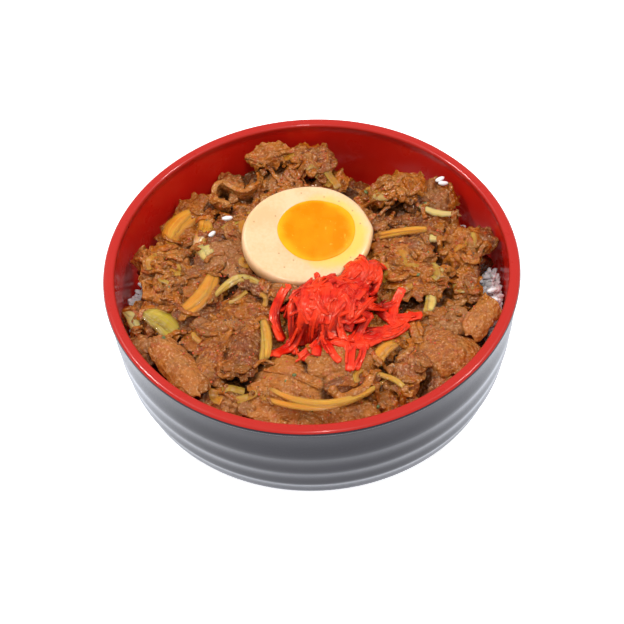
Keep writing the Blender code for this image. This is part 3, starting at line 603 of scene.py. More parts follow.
# Slices from the fat end of the cut, paler than the others
PALE_SLICES = ("front_broad", "front_left_roll", "centre_broad", "front_middle", "left_lump_high")
PALE_TINT = 0.72
SLICE_THICKNESS = 1.9
FOLD_PITCH = 6.8
# A slice that turns further than this across its width lies rolled up instead of spread
ROLLED_UP = 110
HEAP_CROWN = -6.0
HEAP_STOPS = (0, 25, 50, 70, 92, 118, 135, 155, 185, 205, 250, 300, 335, 360)
HEAP_RADII = (77.0, 72.0, 65.0, 52.0, 70.0, 69.0, 65.0, 67.0, 73.0, 78.5, 80.5, 80.5, 79.5, 77.0)


def heap_outline(angle):
    return np.interp(np.degrees(angle) % 360.0, HEAP_STOPS, HEAP_RADII)


def heap_top(x, y):
    """Height of the heap's crown from the plane of the rim, before the slices on it."""
    radius = np.hypot(x, y)
    return HEAP_CROWN - 6.5 * (radius / 80.0) ** 2 - 4.5 * np.maximum(0.0, y / 80.0) ** 2


def bed_top(x, y, share):
    shoulder = np.maximum(0.0, (share - 0.8) / 0.2)
    lumps = 1.6 * ripple(x / 8.0, y / 8.0, 8.0) + 1.0 * np.abs(ripple(x / 3.0, y / 3.0, 21.0))
    crown = heap_top(x, y) - 2.2 + lumps
    low = rice_top(x, y) + 3.0
    return crown + (low - crown) * shoulder**1.6


def bed_foot(x, y, share):
    return rice_top(x, y) - 1.0


def turn_about_z(cloud, degrees, place):
    turn = np.array(Matrix.Rotation(math.radians(degrees), 3, "Z"))
    return cloud @ turn.T + np.array(place)


def bent_sheet(piece, u, v):
    """The points of a slice over its flat pattern, whose u and v run from -1 to 1."""
    side = np.where(v < 0.0, -1.7, 1.7)
    end = np.where(u < 0.0, -2.3, 2.3)
    ragged = 1.0 + 0.25 * ripple(u * 2.4, side, piece.seed)
    ragged += 0.16 * np.abs(v) ** 3 * ripple(u * 8.0, side, piece.seed + 0.5)
    taper = np.sqrt(1.0 - 0.42 * u * u) * ragged
    reach = np.sqrt(1.0 - 0.42 * v * v) + 0.14 * np.abs(u) ** 3 * ripple(v * 4.0, end, piece.seed + 0.7)
    along = u * piece.length / 2.0 * reach
    across = v * piece.width / 2.0 * taper
    flip = 1.0 if math.sin(piece.seed * 2.7) > 0.0 else -1.0
    tucked = np.where(v * flip > 0.0, 0.45, 1.25)
    tucked_end = np.where(u * flip > 0.0, 1.1, 0.6)
    bend = piece.width / math.radians(piece.roll)
    rolled = piece.roll >= ROLLED_UP
    sag = piece.length / 2.0 * math.tan(math.radians(piece.curl / 4.0)) * u * u * tucked_end
    if rolled:
        sag = sag * 0.6 + bend * (1.0 - np.cos(across / bend))
        across = bend * np.sin(across / bend)
    else:
        sag = sag + piece.width / 2.0 * math.tan(math.radians(piece.roll / 4.0)) * v * v * tucked
    wave = np.sin(math.pi * piece.waves * (u + 0.35 * v) + piece.seed * 1.7)
    lift = piece.ruffle * wave * (0.35 + 0.65 * v * v)
    lift = lift + piece.ruffle * 0.8 * ripple(along / 9.0, across / 7.0, piece.seed * 3.1)
    warp = 2.4 * ripple(along / 6.0, across / 6.0, piece.seed + 9.0)
    turn = math.radians(piece.seed * 47.0)
    run = along * math.sin(turn) + across * math.cos(turn) + 1.5 * warp
    fold = np.abs(np.sin(math.pi * run / FOLD_PITCH)) - 0.6
    gathered = np.clip(0.4 + 1.6 * ripple(along / 11.0, across / 11.0, piece.seed + 5.0), 0.0, 1.2)
    lift = lift + piece.ruffle * 1.1 * fold * gathered
    edge = np.maximum(np.abs(u), np.abs(v))
    frill = np.sin(7.0 * (u - v * 0.8) + 4.0 * ripple(u * 2.0, v * 2.0, piece.seed))
    lift = lift + piece.ruffle * 0.55 * frill * edge**4
    return np.column_stack((along, across, lift - sag))


def slice_cloud(piece, u, v):
    place = (piece.x, piece.y, RIM_HEIGHT + piece.z)
    return turn_about_z(bent_sheet(piece, u, v), piece.heading, place)


def under_slice(piece, draw):
    """A second slice that looks out from under a first one, lower and turned."""
    away = math.radians(draw.uniform(0.0, 360.0))
    shift = piece.width * 0.30
    return piece._replace(
        x=piece.x + shift * math.cos(away),
        y=piece.y + shift * math.sin(away),
        z=piece.z - draw.uniform(1.6, 2.8),
        length=piece.length * draw.uniform(0.75, 0.95),
        width=piece.width * draw.uniform(0.75, 1.0),
        heading=piece.heading + draw.uniform(-60.0, 60.0),
        ruffle=max(1.2, piece.ruffle),
        seed=piece.seed + 100,
    )


# The half egg, which the beef and the onion keep clear of: where its middle lies, how it is turned and
# tipped in degrees, how much narrower its point is, and its size
EGG_PLACE = (-0.5, 11.2, 4.5)
EGG_HEADING = 20.0
EGG_TIP = 12.0
EGG_LEAN = 10.0
EGG_POINT = 0.03
EGG_LENGTH = 57.0
EGG_WIDTH = 46.0


def egg_frame():
    place = Matrix.Translation(Vector(EGG_PLACE) + Vector((0.0, 0.0, RIM_HEIGHT)))
    tip = Matrix.Rotation(math.radians(EGG_TIP), 4, "X")
    lean = Matrix.Rotation(math.radians(EGG_LEAN), 4, "Y")
    return place @ lean @ tip @ Matrix.Rotation(math.radians(EGG_HEADING), 4, "Z")


def clear_of_egg(points):
    """Presses points down where they would come through the egg."""
    to_egg = np.array(egg_frame().inverted())
    local = points / MM @ to_egg[:3, :3].T + to_egg[:3, 3]
    narrow = 1.0 - EGG_POINT * local[:, 0] / (EGG_LENGTH / 2.0)
    across = local[:, 1] / (EGG_WIDTH / 2.0 * narrow)
    inside = (local[:, 0] / (EGG_LENGTH / 2.0)) ** 2 + across**2
    shell = -np.sqrt(np.maximum(0.0, 1.04 - inside)) * EGG_WIDTH / 2.0 - 0.4
    press = (inside < 1.04) & (local[:, 2] > shell)
    local[press, 2] = shell[press]
    back = np.array(egg_frame())
    moved = (local @ back[:3, :3].T + back[:3, 3]) * MM
    return np.where(press[:, None], moved, points)


# Where the heap stays off the wall and the rice shows: the middle and half width of the gap in degrees, and
# the radius that the meat reaches there
WALL_GAPS = ((-5.0, 10.0, 71.5), (175.5, 7.0, 74.0))
WALL_CLEARANCE = 0.9


def inside_wall(points):
    """Pulls points in where they would come through the bowl's wall or fill a gap beside it."""
    radius = np.hypot(points[:, 0], points[:, 1]) / MM
    limit = cavity_radius(points[:, 2] / MM) - WALL_CLEARANCE
    angle = np.degrees(np.arctan2(points[:, 1], points[:, 0]))
    uneven = 2.2 * ripple(points[:, 0] / MM / 30.0, points[:, 1] / MM / 3.2, points[:, 2] / MM / 2.6)
    for middle, half, reach in WALL_GAPS:
        off = np.abs((angle - middle + 180.0) % 360.0 - 180.0) / half
        limit = np.minimum(limit, reach + 14.0 * np.maximum(0.0, off - 0.5) ** 2 + uneven)
    pull = np.minimum(1.0, limit / np.maximum(radius, 1.0))
    points[:, 0] *= pull
    points[:, 1] *= pull
    return points


def fit_in_bowl(piece):
    """Keeps a piece clear of the egg and inside the bowl."""
    move_points(piece, inside_wall(clear_of_egg(points_of(piece))))


def crumple(piece, size, depth, group=""):
    """Pushes the surface in and out along its normals by noise, hard-edged where it has a group."""
    pattern = bpy.data.textures.new(f"{piece.name}_{size}", "CLOUDS")
    pattern.noise_type = "HARD_NOISE" if group else "SOFT_NOISE"
    pattern.noise_scale = size * MM
    pattern.noise_depth = 1
    modify(piece, "DISPLACE", texture=pattern, strength=depth * MM, mid_level=0.5, vertex_group=group)


def soften(piece, rounds):
    """Rounds off the rims and creases of a piece."""
    modify(piece, "SMOOTH", factor=0.5, iterations=rounds)


def thicken(piece, thickness, offset):
    """Makes a sheet a shell, which lies under it where offset is -1 and on both its sides where it is 0."""
    modify(piece, "SOLIDIFY", thickness=thickness * MM, offset=offset)


def keep_on_points(piece, name, values):
    """Keeps a number or a vector on each of the piece's points, for its material."""
    values = np.asarray(values, dtype=np.float32)
    kind, words = ("FLOAT", "value") if values.ndim == 1 else ("FLOAT_VECTOR", "vector")
    layer = piece.data.attributes.new(name, kind, "POINT")
    layer.data.foreach_set(words, values.ravel())


def keep_by_copy(piece, name, values):
    """Keeps one number for each of the joined copies, the same on all of a copy's points."""
    keep_on_points(piece, name, np.repeat(values, len(piece.data.vertices) // len(values)))


def keep_lay(piece, u, v, copies):
    """Keeps each point's place on its own copy, from each copy's length, width and number."""
    places = [
        np.column_stack((u * length / 2.0, v * width / 2.0, 0 * u + number))
        for length, width, number in copies
    ]
    keep_on_points(piece, "lay", np.concatenate(places))


def flat_pattern(columns, rows):
    """A flat grid to bend and copy: u and v of its points, from -1 to 1, and its faces."""
    bpy.ops.mesh.primitive_grid_add(x_subdivisions=columns, y_subdivisions=rows, size=2.0)
    points, faces = pattern_piece()
    return points[:, 0], points[:, 1], faces


def make_slices(name, sheets):
    """Slices of beef joined as one piece, crumpled most where they are ruffled most."""
    made = join_copies(name, sheet_faces, [slice_cloud(piece, sheet_u, sheet_v) for piece in sheets])
    keep_lay(made, sheet_u, sheet_v, [(piece.length, piece.width, piece.seed) for piece in sheets])
    keep_on_points(made, "border", np.tile(np.maximum(np.abs(sheet_u), np.abs(sheet_v)), len(sheets)))
    for tint, shift in (("tone", 0.0), ("warm", 50.0)):
        keep_by_copy(made, tint, [
            PALE_TINT if piece.name in PALE_SLICES
            else 0.5 + noise.noise((piece.x / 9.0 + shift, piece.y / 9.0, piece.seed))
            for piece in sheets
        ])
    rough = made.vertex_groups.new(name="rough")
    for index, piece in enumerate(sheets):
        first = index * len(sheet_u)
        share = min(1.0, max(0.15, piece.ruffle - 0.7))
        rough.add(list(range(first, first + len(sheet_u))), share, "REPLACE")
    thicken(made, SLICE_THICKNESS, -1.0)
    crumple(made, 4.2, 2.1, "rough")
    crumple(made, 2.0, 0.9)
    soften(made, 4)
    fit_in_bowl(made)
    return made


sheet_u, sheet_v, sheet_faces = flat_pattern(50, 36)
draw = random.Random(19)
groups = {"back": [], "left": [], "front_left": [], "right": [], "front": []}
for piece in TUCKED_SLICES + SLICES:
    left = "left" if piece.y > -19 else "front_left"
    middle = left if piece.x < -24 else "right" if piece.x > 40 else "front"
    side = "back" if piece.y > 24 and piece.x < 50 else middle
    groups[side].append(piece)
    if piece in SLICES and piece.roll < ROLLED_UP:
        groups[side].append(under_slice(piece, draw))
beef_pieces = [make_slices("beef_slices_" + side, sheets) for side, sheets in groups.items()]

beef_bed = reshaped_ball("beef_bed", 300, 110, heap_outline, bed_top, bed_foot)
fit_in_bowl(beef_bed)
bed_points = points_of(beef_bed) / MM
keep_on_points(beef_bed, "lay", bed_points * (1.0, 1.0, 0.0))
# The bed's dark tone is partly painted shade, as it shows only in the gaps between slices
for words, value in (("border", 0.0), ("tone", 0.2), ("warm", 0.4)):
    keep_by_copy(beef_bed, words, [value])
beef_pieces.append(beef_bed)

# A last slice stands on its edge behind the egg and curls round on itself in an S
CURL_PATH = (
    (-20.0, 65.0),
    (-21.5, 56.0),
    (-27.5, 50.5),
    (-33.5, 54.5),
    (-38.5, 56.5),
    (-42.0, 51.5),
    (-40.0, 46.0),
    (-35.0, 42.0),
)
CURL_FOOT = -20.0
CURL_CREST = -7.0
CURL_THICKNESS = 2.6


def standing_wall(path, u, v):
    """A sheet that stands on its edge along a path: u runs along it and v from its foot to its crest."""
    line = np.array(round_through(path, 12))
    span = np.linspace(-1.0, 1.0, len(line))
    x = np.interp(u, span, line[:, 0])
    y = np.interp(u, span, line[:, 1])
    lean = 1.4 * ripple(u * 5.0, v * 1.5, 4.0) * (0.3 + 0.7 * v)
    crest = CURL_CREST + 1.0 * np.sin(u * 9.0) + 0.7 * ripple(u * 14.0, 0.0 * u, 2.0)
    z = RIM_HEIGHT + CURL_FOOT + (crest - CURL_FOOT) * (v + 1.0) / 2.0
    return np.column_stack((x + lean, y - lean * 0.5, z))


curl = join_copies("beef_curl", sheet_faces, [standing_wall(CURL_PATH, sheet_u, sheet_v)])
keep_lay(curl, sheet_u, sheet_v, [(60.0, 12.0, 77.0)])
keep_on_points(curl, "border", (sheet_v + 1.0) / 2.0)
keep_by_copy(curl, "tone", [0.7])
keep_by_copy(curl, "warm", [0.5])
thicken(curl, CURL_THICKNESS, 0.0)
crumple(curl, 2.6, 0.9)
soften(curl, 4)
beef_pieces.append(curl)

# The heights of the heap over a square grid tell which points of the meat lie low in a gap, for painted
# shade
FIELD_CELL = 0.625
FIELD_HALF = 100.0
FIELD_COUNT = round(2 * FIELD_HALF / FIELD_CELL)
# How far round a point the heap is levelled, and how far below that level the painted shade is darkest
GAP_REACHES = ((1.3, 1.8), (3.2, 4.0), (8.0, 9.0))


def height_field(pieces):
    """The heights in millimetres of the top of the pieces over a square grid, with small gaps closed."""
    field = np.full((FIELD_COUNT, FIELD_COUNT), RIM_HEIGHT + RICE_LEVEL)
    for piece in pieces:
        points = points_of(piece) / MM
        column = ((points[:, 0] + FIELD_HALF) / FIELD_CELL).astype(int)
        row = ((points[:, 1] + FIELD_HALF) / FIELD_CELL).astype(int)
        np.maximum.at(field, (row, column), points[:, 2])
    closed = field.copy()
    for shift in ((0, 1), (1, 0), (0, -1), (-1, 0)):
        closed = np.maximum(closed, np.roll(field, shift, axis=(0, 1)))
    gaps = closed > field + 1.5
    return np.where(gaps, closed, field)


def softened(field, reach):
    """The field blurred over a reach in millimetres."""
    cells = max(1, round(reach / FIELD_CELL))
    for _ in range(2):
        for axis in (0, 1):
            total = sum(np.roll(field, shift, axis=axis) for shift in range(-cells, cells + 1))
            field = total / (2 * cells + 1)
    return field


def height_at(field, x, y):
    column = np.clip(((np.asarray(x) + FIELD_HALF) / FIELD_CELL).astype(int), 0, FIELD_COUNT - 1)
    row = np.clip(((np.asarray(y) + FIELD_HALF) / FIELD_CELL).astype(int), 0, FIELD_COUNT - 1)
    return field[row, column]


def keep_depths(piece, levels):
    """Keeps how low each point lies in a gap of the heap, for painted shade, and how far it stands up, for
    painted light on its crest.
    """
    x, y, z = (points_of(piece) / MM).T
    deep = sum(
        np.clip((height_at(level, x, y) - z) / depth, 0.0, 1.0)
        for level, (_, depth) in zip(levels, GAP_REACHES)
    )
    keep_on_points(piece, "deep", np.clip(deep * 0.55, 0.0, 1.0))
    keep_on_points(piece, "ridge", np.clip(0.5 + (z - height_at(levels[0], x, y)) / 1.8, 0.0, 1.0))


heap_field = height_field(beef_pieces)
heap_levels = [softened(heap_field, reach) for reach, _ in GAP_REACHES]

beef = Finish(
    "simmered_beef", specular_ior_level=0.6, subsurface_weight=0.3, subsurface_scale=0.0012,
    subsurface_radius=(1.0, 0.45, 0.2), specular_tint=(1.0, 0.87, 0.72),
)
lay = beef.lay("lay")
tone = beef.lay("tone", "Fac")
warm = beef.lay("warm", "Fac")
patch = beef.grain(0.0065, detail=3.0, twist=0.8)
stain = beef.grain(0.0034, detail=3.0, twist=0.5)
fibre = beef.grain(1.0, detail=4.0, rough=0.65, vector=beef.stretch(lay, (0.22, 1.5, 3.1)))
lumps = beef.grain(0.0022, detail=4.0, rough=0.65)
crumb = beef.grain(0.0009, detail=3.0, rough=0.6)
relief = lumps * 0.28 + crumb * 0.28 + fibre * 0.44
hue = beef.grain(0.0050, detail=2.0)
beef.set("Base Color", beef.layer(
    beef.blend(relief.ramp(0.38, 0.50), (0.085, 0.0140, 0.0010), (0.245, 0.048, 0.003)),
    # Lighter fibres, painted light on the crests that stand up, then browner and redder parts of the meat
    (relief.ramp(0.49, 0.59), (0.48, 0.146, 0.012)),
    (beef.lay("ridge", "Fac").ramp(0.45, 1.0, 0.0, 0.35), (0.48, 0.170, 0.018)),
    (hue.ramp(0.52, 0.66, 0.0, 0.60), (0.35, 0.138, 0.020)),
    (hue.ramp(0.32, 0.46, 0.60, 0.0), (0.33, 0.046, 0.003)),
    # Slices that took less sauce or more, and stains of it
    (warm.ramp(0.20, 0.50, 0.50, 0.0), (0.17, 0.060, 0.026)),
    ((warm * 0.5 + patch).ramp(0.72, 0.92, 0.0, 0.6), (0.49, 0.130, 0.002)),
    (stain.ramp(0.58, 0.68, 0.0, 0.6), (0.41, 0.040, 0.002)),
    # Lighter edges, partly fat and partly painted light caught on them, dark and pale slices, painted
    # glints, and painted shade in the gaps
    (beef.lay("border", "Fac").ramp(0.86, 1.0, 0.0, 0.3), (0.50, 0.19, 0.024)),
    (tone.ramp(0.25, 0.50, 0.35, 0.0), (0.12, 0.023, 0.002)),
    (tone.ramp(0.55, 0.80, 0.0, 0.38), (0.50, 0.210, 0.055)),
    (beef.grain(0.0011, detail=1.0).ramp(0.60, 0.72, 0.0, 0.38), (0.80, 0.48, 0.22)),
    (beef.lay("deep", "Fac").ramp(0.10, 0.85, 0.0, 0.85), (0.050, 0.011, 0.0012)),
))
beef.set("Roughness", crumb * 0.12 + stain.ramp(0.42, 0.60, 0.0, 0.12) + 0.07)
sheet = beef.grain(0.0028, detail=1.0, rough=0.4) * 0.55 + beef.grain(0.0014, detail=1.0, rough=0.4) * 0.28
beef.bump(sheet + fibre * 0.30, 0.0025, 0.85)


def finish_beef(piece):
    keep_depths(piece, heap_levels)
    serve(piece, beef, "beef")


for piece in beef_pieces:
    finish_beef(piece)


# The onion is cut in wedges, so that it falls into strips and petals, and simmered soft in the same sauce.
# Each strip is a thin, half clear layer that drapes over the beef, paler or more amber as it took the sauce.

# A strip: the place of its middle, its size, its heading and how far it cups across in degrees, how far its
# middle bows aside, how amber it is, and how many layers it came apart in.
Strip = namedtuple("Strip", "name x y z length width heading roll bow tone layers")
STRIPS = (
    Strip("onion_long_front", 2, -68.5, 0.0, 50, 5.0, 1, 60, -8.5, 0.62, 2),
    Strip("onion_arc_left", -31, -10, -1.0, 25, 5.0, 6, 60, 8.0, 0.50, 2),
    Strip("onion_amber_left", -47, -11, -2.0, 27, 8.5, 60, 80, -2.0, 0.90, 2),
    Strip("onion_petal_left", -64, -22, -6.0, 22, 10.0, -46, 30, 2.0, -0.80, 2),
    Strip("onion_petal_back", -57, 38, -12.0, 24, 12.0, 52, 70, 3.0, 0.90, 2),
    Strip("onion_ribbon_back", -48, 28, -9.0, 25, 7.0, -105, 70, 3.0, 0.85, 2),
    Strip("onion_pale_left", -46, 15, -6.0, 12, 8.0, -58, 70, 1.0, 0.10, 2),
    Strip("onion_upright", -20.5, -38, 0.0, 25, 5.0, -88, 60, 1.5, 0.55, 2),
    Strip("onion_short_front", 28, -48, -0.5, 15, 6.0, 50, 70, 2.0, 0.90, 2),
    Strip("onion_thread_front", 29, -62, -1.2, 17, 2.8, -34, 50, 2.5, 0.60, 1),
    Strip("onion_bit_right", 48, -23, -1.0, 12, 5.0, -98, 70, 1.0, 0.40, 2),
    Strip("onion_amber_right", 41, 18.5, -3.0, 27, 4.0, 8, 60, 1.2, 0.80, 2),
    Strip("onion_pale_right", 57, 31, -4.0, 18, 4.0, -20, 60, -2.0, 0.0, 1),
    Strip("onion_left_edge", -77, -16, -11.0, 15, 5.0, -64, 60, 1.0, 0.15, 2),
    Strip("onion_chunk_right", 53, 14, -2.5, 8, 5.0, -12, 60, 0.6, 0.0, 1),
)
ONION_THICKNESS = 0.75
ONION_LIFT = -0.2


def strip_points(piece, u, v):
    """An onion strip in its own frame: pointed ends, a cupped section and a sideways bow."""
    taper = 0.16 + 0.84 * np.sqrt(np.maximum(0.0, 1.0 - np.abs(u) ** 2.4))
    taper = taper * (1.0 + 0.18 * ripple(u * 3.0, np.sign(v), piece.x))
    across = v * piece.width / 2.0 * taper
    bend = piece.width / math.radians(piece.roll * 0.65)
    y = bend * np.sin(across / bend) + piece.bow * (0.5 - u * u)
    return np.column_stack((u * piece.length / 2.0, y, bend * (np.cos(across / bend) - 1.0)))


def leaf(piece, index):
    """One of the layers that a strip came apart in, narrower than the strip and a little beside it."""
    if piece.layers == 1:
        return piece
    off = (index / (piece.layers - 1.0) - 0.5) * piece.width * 0.24
    across = math.radians(piece.heading + 90.0)
    return piece._replace(
        x=piece.x + off * math.cos(across),
        y=piece.y + off * math.sin(across),
        z=piece.z + 0.5 * index,
        length=piece.length * (1.0 - 0.10 * index),
        width=piece.width * 0.76,
        heading=piece.heading + 4.0 * math.sin(piece.x + 2.1 * index),
        tone=piece.tone + 0.16 * math.sin(piece.y + 2.4 * index),
    )


def evened(values, rounds):
    """The values along a line, each drawn towards its neighbours a number of times."""
    for _ in range(rounds):
        padded = np.pad(values, 1, mode="edge")
        values = (padded[:-2] + 2.0 * values + padded[2:]) / 4.0
    return values


def strip_in_place(piece, u, v):
    """A strip's points turned to its heading over its place, with heights about 0."""
    return turn_about_z(strip_points(piece, u, v), piece.heading, (piece.x, piece.y, 0.0))


def draped(piece, u, v, field):
    """Lays a strip on the heap: each cross-section rests on the highest beef under it."""
    steps = np.linspace(-1.0, 1.0, 25)
    rests = np.full(len(steps), RIM_HEIGHT + piece.z - 2.5)
    for side in (-1.0, 0.0, 1.0):
        edge = strip_in_place(piece, steps, side + 0 * steps)
        rests = np.maximum(rests, height_at(field, edge[:, 0], edge[:, 1]))
    cloud = strip_in_place(piece, u, v)
    cloud[:, 2] += np.interp(u, steps, evened(rests, 6)) + ONION_LIFT + 0.25 * ripple(u * 6.0, v, piece.y)
    return cloud


onion = Finish(
    "cooked_onion", subsurface_weight=0.5, subsurface_scale=0.002, coat_weight=0.25,
    coat_roughness=0.06, subsurface_radius=(1.0, 0.55, 0.2),
)
tone = onion.lay("tone", "Fac") + (onion.grain(0.006, detail=3.0) - 0.5) * 0.5
vein = onion.grain(1.0, detail=2.0, rough=0.5, vector=onion.stretch(onion.lay("lay"), (0.06, 1.5, 1.0)))
edge = onion.lay("border", "Fac")
onion.set("Base Color", onion.layer(
    onion.blend(tone.ramp(-0.5, -0.1), (0.46, 0.33, 0.018), (0.74, 0.56, 0.20)),
    # More amber as it took more sauce, with light and dark veins and a stained edge
    (tone.ramp(0.1, 0.45), (0.58, 0.33, 0.040)),
    (tone.ramp(0.45, 0.85), (0.72, 0.26, 0.010)),
    (vein.ramp(0.30, 0.50, 0.50, 0.0), (0.86, 0.56, 0.09)),
    (vein.ramp(0.46, 0.64, 0.0, 0.32), (0.42, 0.15, 0.004)),
    (edge.ramp(0.5, 1.0, 0.0, 0.36), (0.46, 0.19, 0.012)),
))
onion.set("Alpha", edge.ramp(0.25, 1.0, 0.80, 0.25))
onion.set("Roughness", vein.ramp(0.3, 0.7, 0.16, 0.36))
onion.bump(vein, 0.0005, 0.6)

strip_u, strip_v, strip_faces = flat_pattern(36, 8)
resting = softened(heap_field, 0.8)
onion_pieces = []
for piece in STRIPS:
    leaves = [leaf(piece, index) for index in range(piece.layers)]
    clouds = [draped(part, strip_u, strip_v, resting) for part in leaves]
    strip = join_copies(piece.name + "_layers", strip_faces, clouds)
    keep_lay(strip, strip_u, strip_v, [(part.length, part.width, part.x) for part in leaves])
    keep_by_copy(strip, "tone", [part.tone for part in leaves])
    keep_on_points(strip, "border", np.tile(np.maximum(np.abs(strip_v), np.abs(strip_u) ** 3), len(leaves)))
    thicken(strip, ONION_THICKNESS, 0.0)
    modify(strip, "SUBSURF", levels=1, render_levels=1)
    fit_in_bowl(strip)
    onion_pieces.append(strip)
    serve(strip, onion, piece.name)


# Torn scraps and thin threads of beef come last out of the pan. They lie over the slices and over the ends
# of the onion, and make the rough parts of the heap rough.
SCRAPS = 300
RIBBONS = 150
THREADS = 60
SLIVERS = 50
SCRAP_THICKNESS = 1.1
# Smooth slices that stay free of scraps: x, y and radius
CLEAN_PLACES = (
    (-54.0, -47.0, 12.0),
    (-10.0, -60.0, 14.0),
    (53.0, -47.0, 11.0),
    (69.0, -29.0, 9.0),
    (-34.0, 11.0, 8.0),
    (11.0, -50.0, 9.0),
    (-28.0, -44.0, 8.0),
)
# Strands that show singly: their path over the heap, width and thickness
STRANDS = (
    (((4.8, -64.0), (7.8, -67.2), (12.4, -68.6), (16.9, -67.0), (20.0, -63.4), (21.4, -60.0)), 3.8, 2.2),
    (((-21.8, -52.2), (-10.7, -57.0), (1.0, -63.0)), 1.4, 0.9),
    (((29.5, 31.7), (33.0, 34.6), (36.4, 36.3)), 1.7, 1.3),
)


def is_clean(x, y):
    return any(math.hypot(x - place[0], y - place[1]) < place[2] for place in CLEAN_PLACES)


def over_egg(x, y):
    return ((x - 1.0) / 30.0) ** 2 + ((y - 12.0) / 25.0) ** 2 < 1.0


def over_heap(path, lift):
    """A path of (x, y) laid on the heap, its heights evened out, as points in millimetres."""
    line = np.array(round_through(path, 5))
    height = height_at(surface, line[:, 0], line[:, 1]) + lift
    return np.column_stack((line, evened(height, 3)))


def strand(line, width, thickness, twist, u, v):
    """A strand along a line. u runs along it and v round its oblong section, both from -1 to 1."""
    ahead = np.gradient(line, axis=0)
    marks = np.linspace(-1.0, 1.0, len(line))
    middle = np.column_stack([np.interp(u, marks, values) for values in line.T])
    ahead = np.column_stack([np.interp(u, marks, values) for values in ahead.T])
    ahead /= np.linalg.norm(ahead, axis=1)[:, None]
    side = np.cross(ahead, (0.0, 0.0, 1.0))
    side /= np.maximum(np.linalg.norm(side, axis=1), 1e-6)[:, None]
    above = np.cross(side, ahead)
    turn = v * math.pi + math.pi / 4.0
    blunt = np.clip((1.0 - np.abs(u)) / 0.08, 0.0, 1.0) ** 0.5
    blunt = blunt * (1.0 + 0.14 * ripple(u * 3.0, 0.0 * u + line[0, 0], line[0, 1]))
    corner = (np.abs(np.cos(turn)) ** 4 + np.abs(np.sin(turn)) ** 4) ** -0.25 / 2.0
    flat = np.cos(turn) * corner * width * blunt
    thick = np.sin(turn) * corner * thickness * blunt
    roll = twist * u
    out = side * (flat * np.cos(roll) - thick * np.sin(roll))[:, None]
    return middle + out + above * (flat * np.sin(roll) + thick * np.cos(roll))[:, None]


def place_within(draw, share):
    """A random place on the heap, out to a share of the way to its outline."""
    angle = draw.uniform(0.0, math.tau)
    radius = float(heap_outline(angle)) * math.sqrt(draw.random()) * share
    return radius * math.cos(angle), radius * math.sin(angle)


def place_on_heap(draw):
    """A random place on the heap, clear of the egg and of the smooth slices."""
    while True:
        x, y = place_within(draw, 0.97)
        if not is_clean(x, y) and not over_egg(x, y):
            return x, y


def close_seams(piece):
    """Merges the points where a piece's pattern meets itself."""
    modify(piece, "WELD", merge_threshold=0.00001)


scrap_u, scrap_v, scrap_faces = flat_pattern(9, 7)
loaded_field = height_field(beef_pieces + onion_pieces)
surface = softened(loaded_field, 0.8)
draw = random.Random(23)
over_onion = softened((loaded_field > heap_field + 0.2).astype(float), 1.5)
places = []
while len(places) < SCRAPS:
    x, y = place_on_heap(draw)
    if height_at(over_onion, x, y) < 0.05:
        places.append((x, y, draw.uniform(3.5, 9.5)))
for piece in STRIPS:
    for end in (-0.98, 0.98):
        tip = strip_in_place(piece, np.array([end]), np.zeros(1))
        places.append((float(tip[0, 0]), float(tip[0, 1]), draw.uniform(3.0, 4.5)))
scraps = []
scrap_lays = []
for x, y, length in places:
    tilt = draw.uniform(8.0, 32.0)
    height = float(height_at(surface, x, y)) - RIM_HEIGHT + 0.5
    scrap = Slice("scrap", x, y, height, length, length * draw.uniform(0.4, 0.8),
                  draw.uniform(0, 360), draw.uniform(-30, 70), draw.uniform(-40, 90),
                  draw.uniform(0.3, 0.7), 1, draw.uniform(0, 90))
    tip = Matrix.Rotation(math.radians(draw.uniform(-tilt, tilt)), 3, "X")
    lean = Matrix.Rotation(math.radians(draw.uniform(-tilt, tilt)), 3, "Y")
    cloud = bent_sheet(scrap, scrap_u, scrap_v) @ np.array(lean @ tip).T
    scraps.append(turn_about_z(cloud, scrap.heading, (x, y, RIM_HEIGHT + height)))
    scrap_lays.append((length, length / 1.5, scrap.seed))
torn_scraps = join_copies("beef_scraps", scrap_faces, scraps)
keep_lay(torn_scraps, scrap_u, scrap_v, scrap_lays)
keep_on_points(torn_scraps, "border", np.tile(np.maximum(np.abs(scrap_u), np.abs(scrap_v)), len(places)))
for tint in ("tone", "warm"):
    keep_by_copy(torn_scraps, tint, [draw.uniform(0.2, 0.7) for _ in scraps])
thicken(torn_scraps, SCRAP_THICKNESS, -1.0)
crumple(torn_scraps, 1.6, 0.7)
soften(torn_scraps, 3)
fit_in_bowl(torn_scraps)
finish_beef(torn_scraps)

thread_u, thread_v, thread_faces = flat_pattern(20, 8)


def wander(draw, step):
    """A winding path of five points over the heap, that crosses no onion and no steep drop."""
    while True:
        x, y = place_on_heap(draw)
        heading = draw.uniform(0.0, math.tau)
        bend = draw.uniform(-0.6, 0.6)
        path = [(x, y)]
        for _ in range(4):
            heading += bend + draw.uniform(-0.3, 0.3)
            x, y = x + step * math.cos(heading), y + step * math.sin(heading)
            path.append((x, y))
        line = over_heap(path, 0.0)
        steep = np.abs(np.diff(line[:, 2])).max() > 0.24 * step
        covered = height_at(over_onion, line[:, 0], line[:, 1]).max() > 0.05
        outside = np.hypot(line[:, 0], line[:, 1]).max() > 78.0
        if not (steep or covered or outside or any(is_clean(*place) for place in path)):
            return path


def keep_strand_lay(piece, u, v, count, length, width, apart):
    """Keeps each point's place on its own strand, the strands all alike and set apart in the pattern."""
    keep_lay(piece, u, v, [(length, width, apart * index) for index in range(count)])


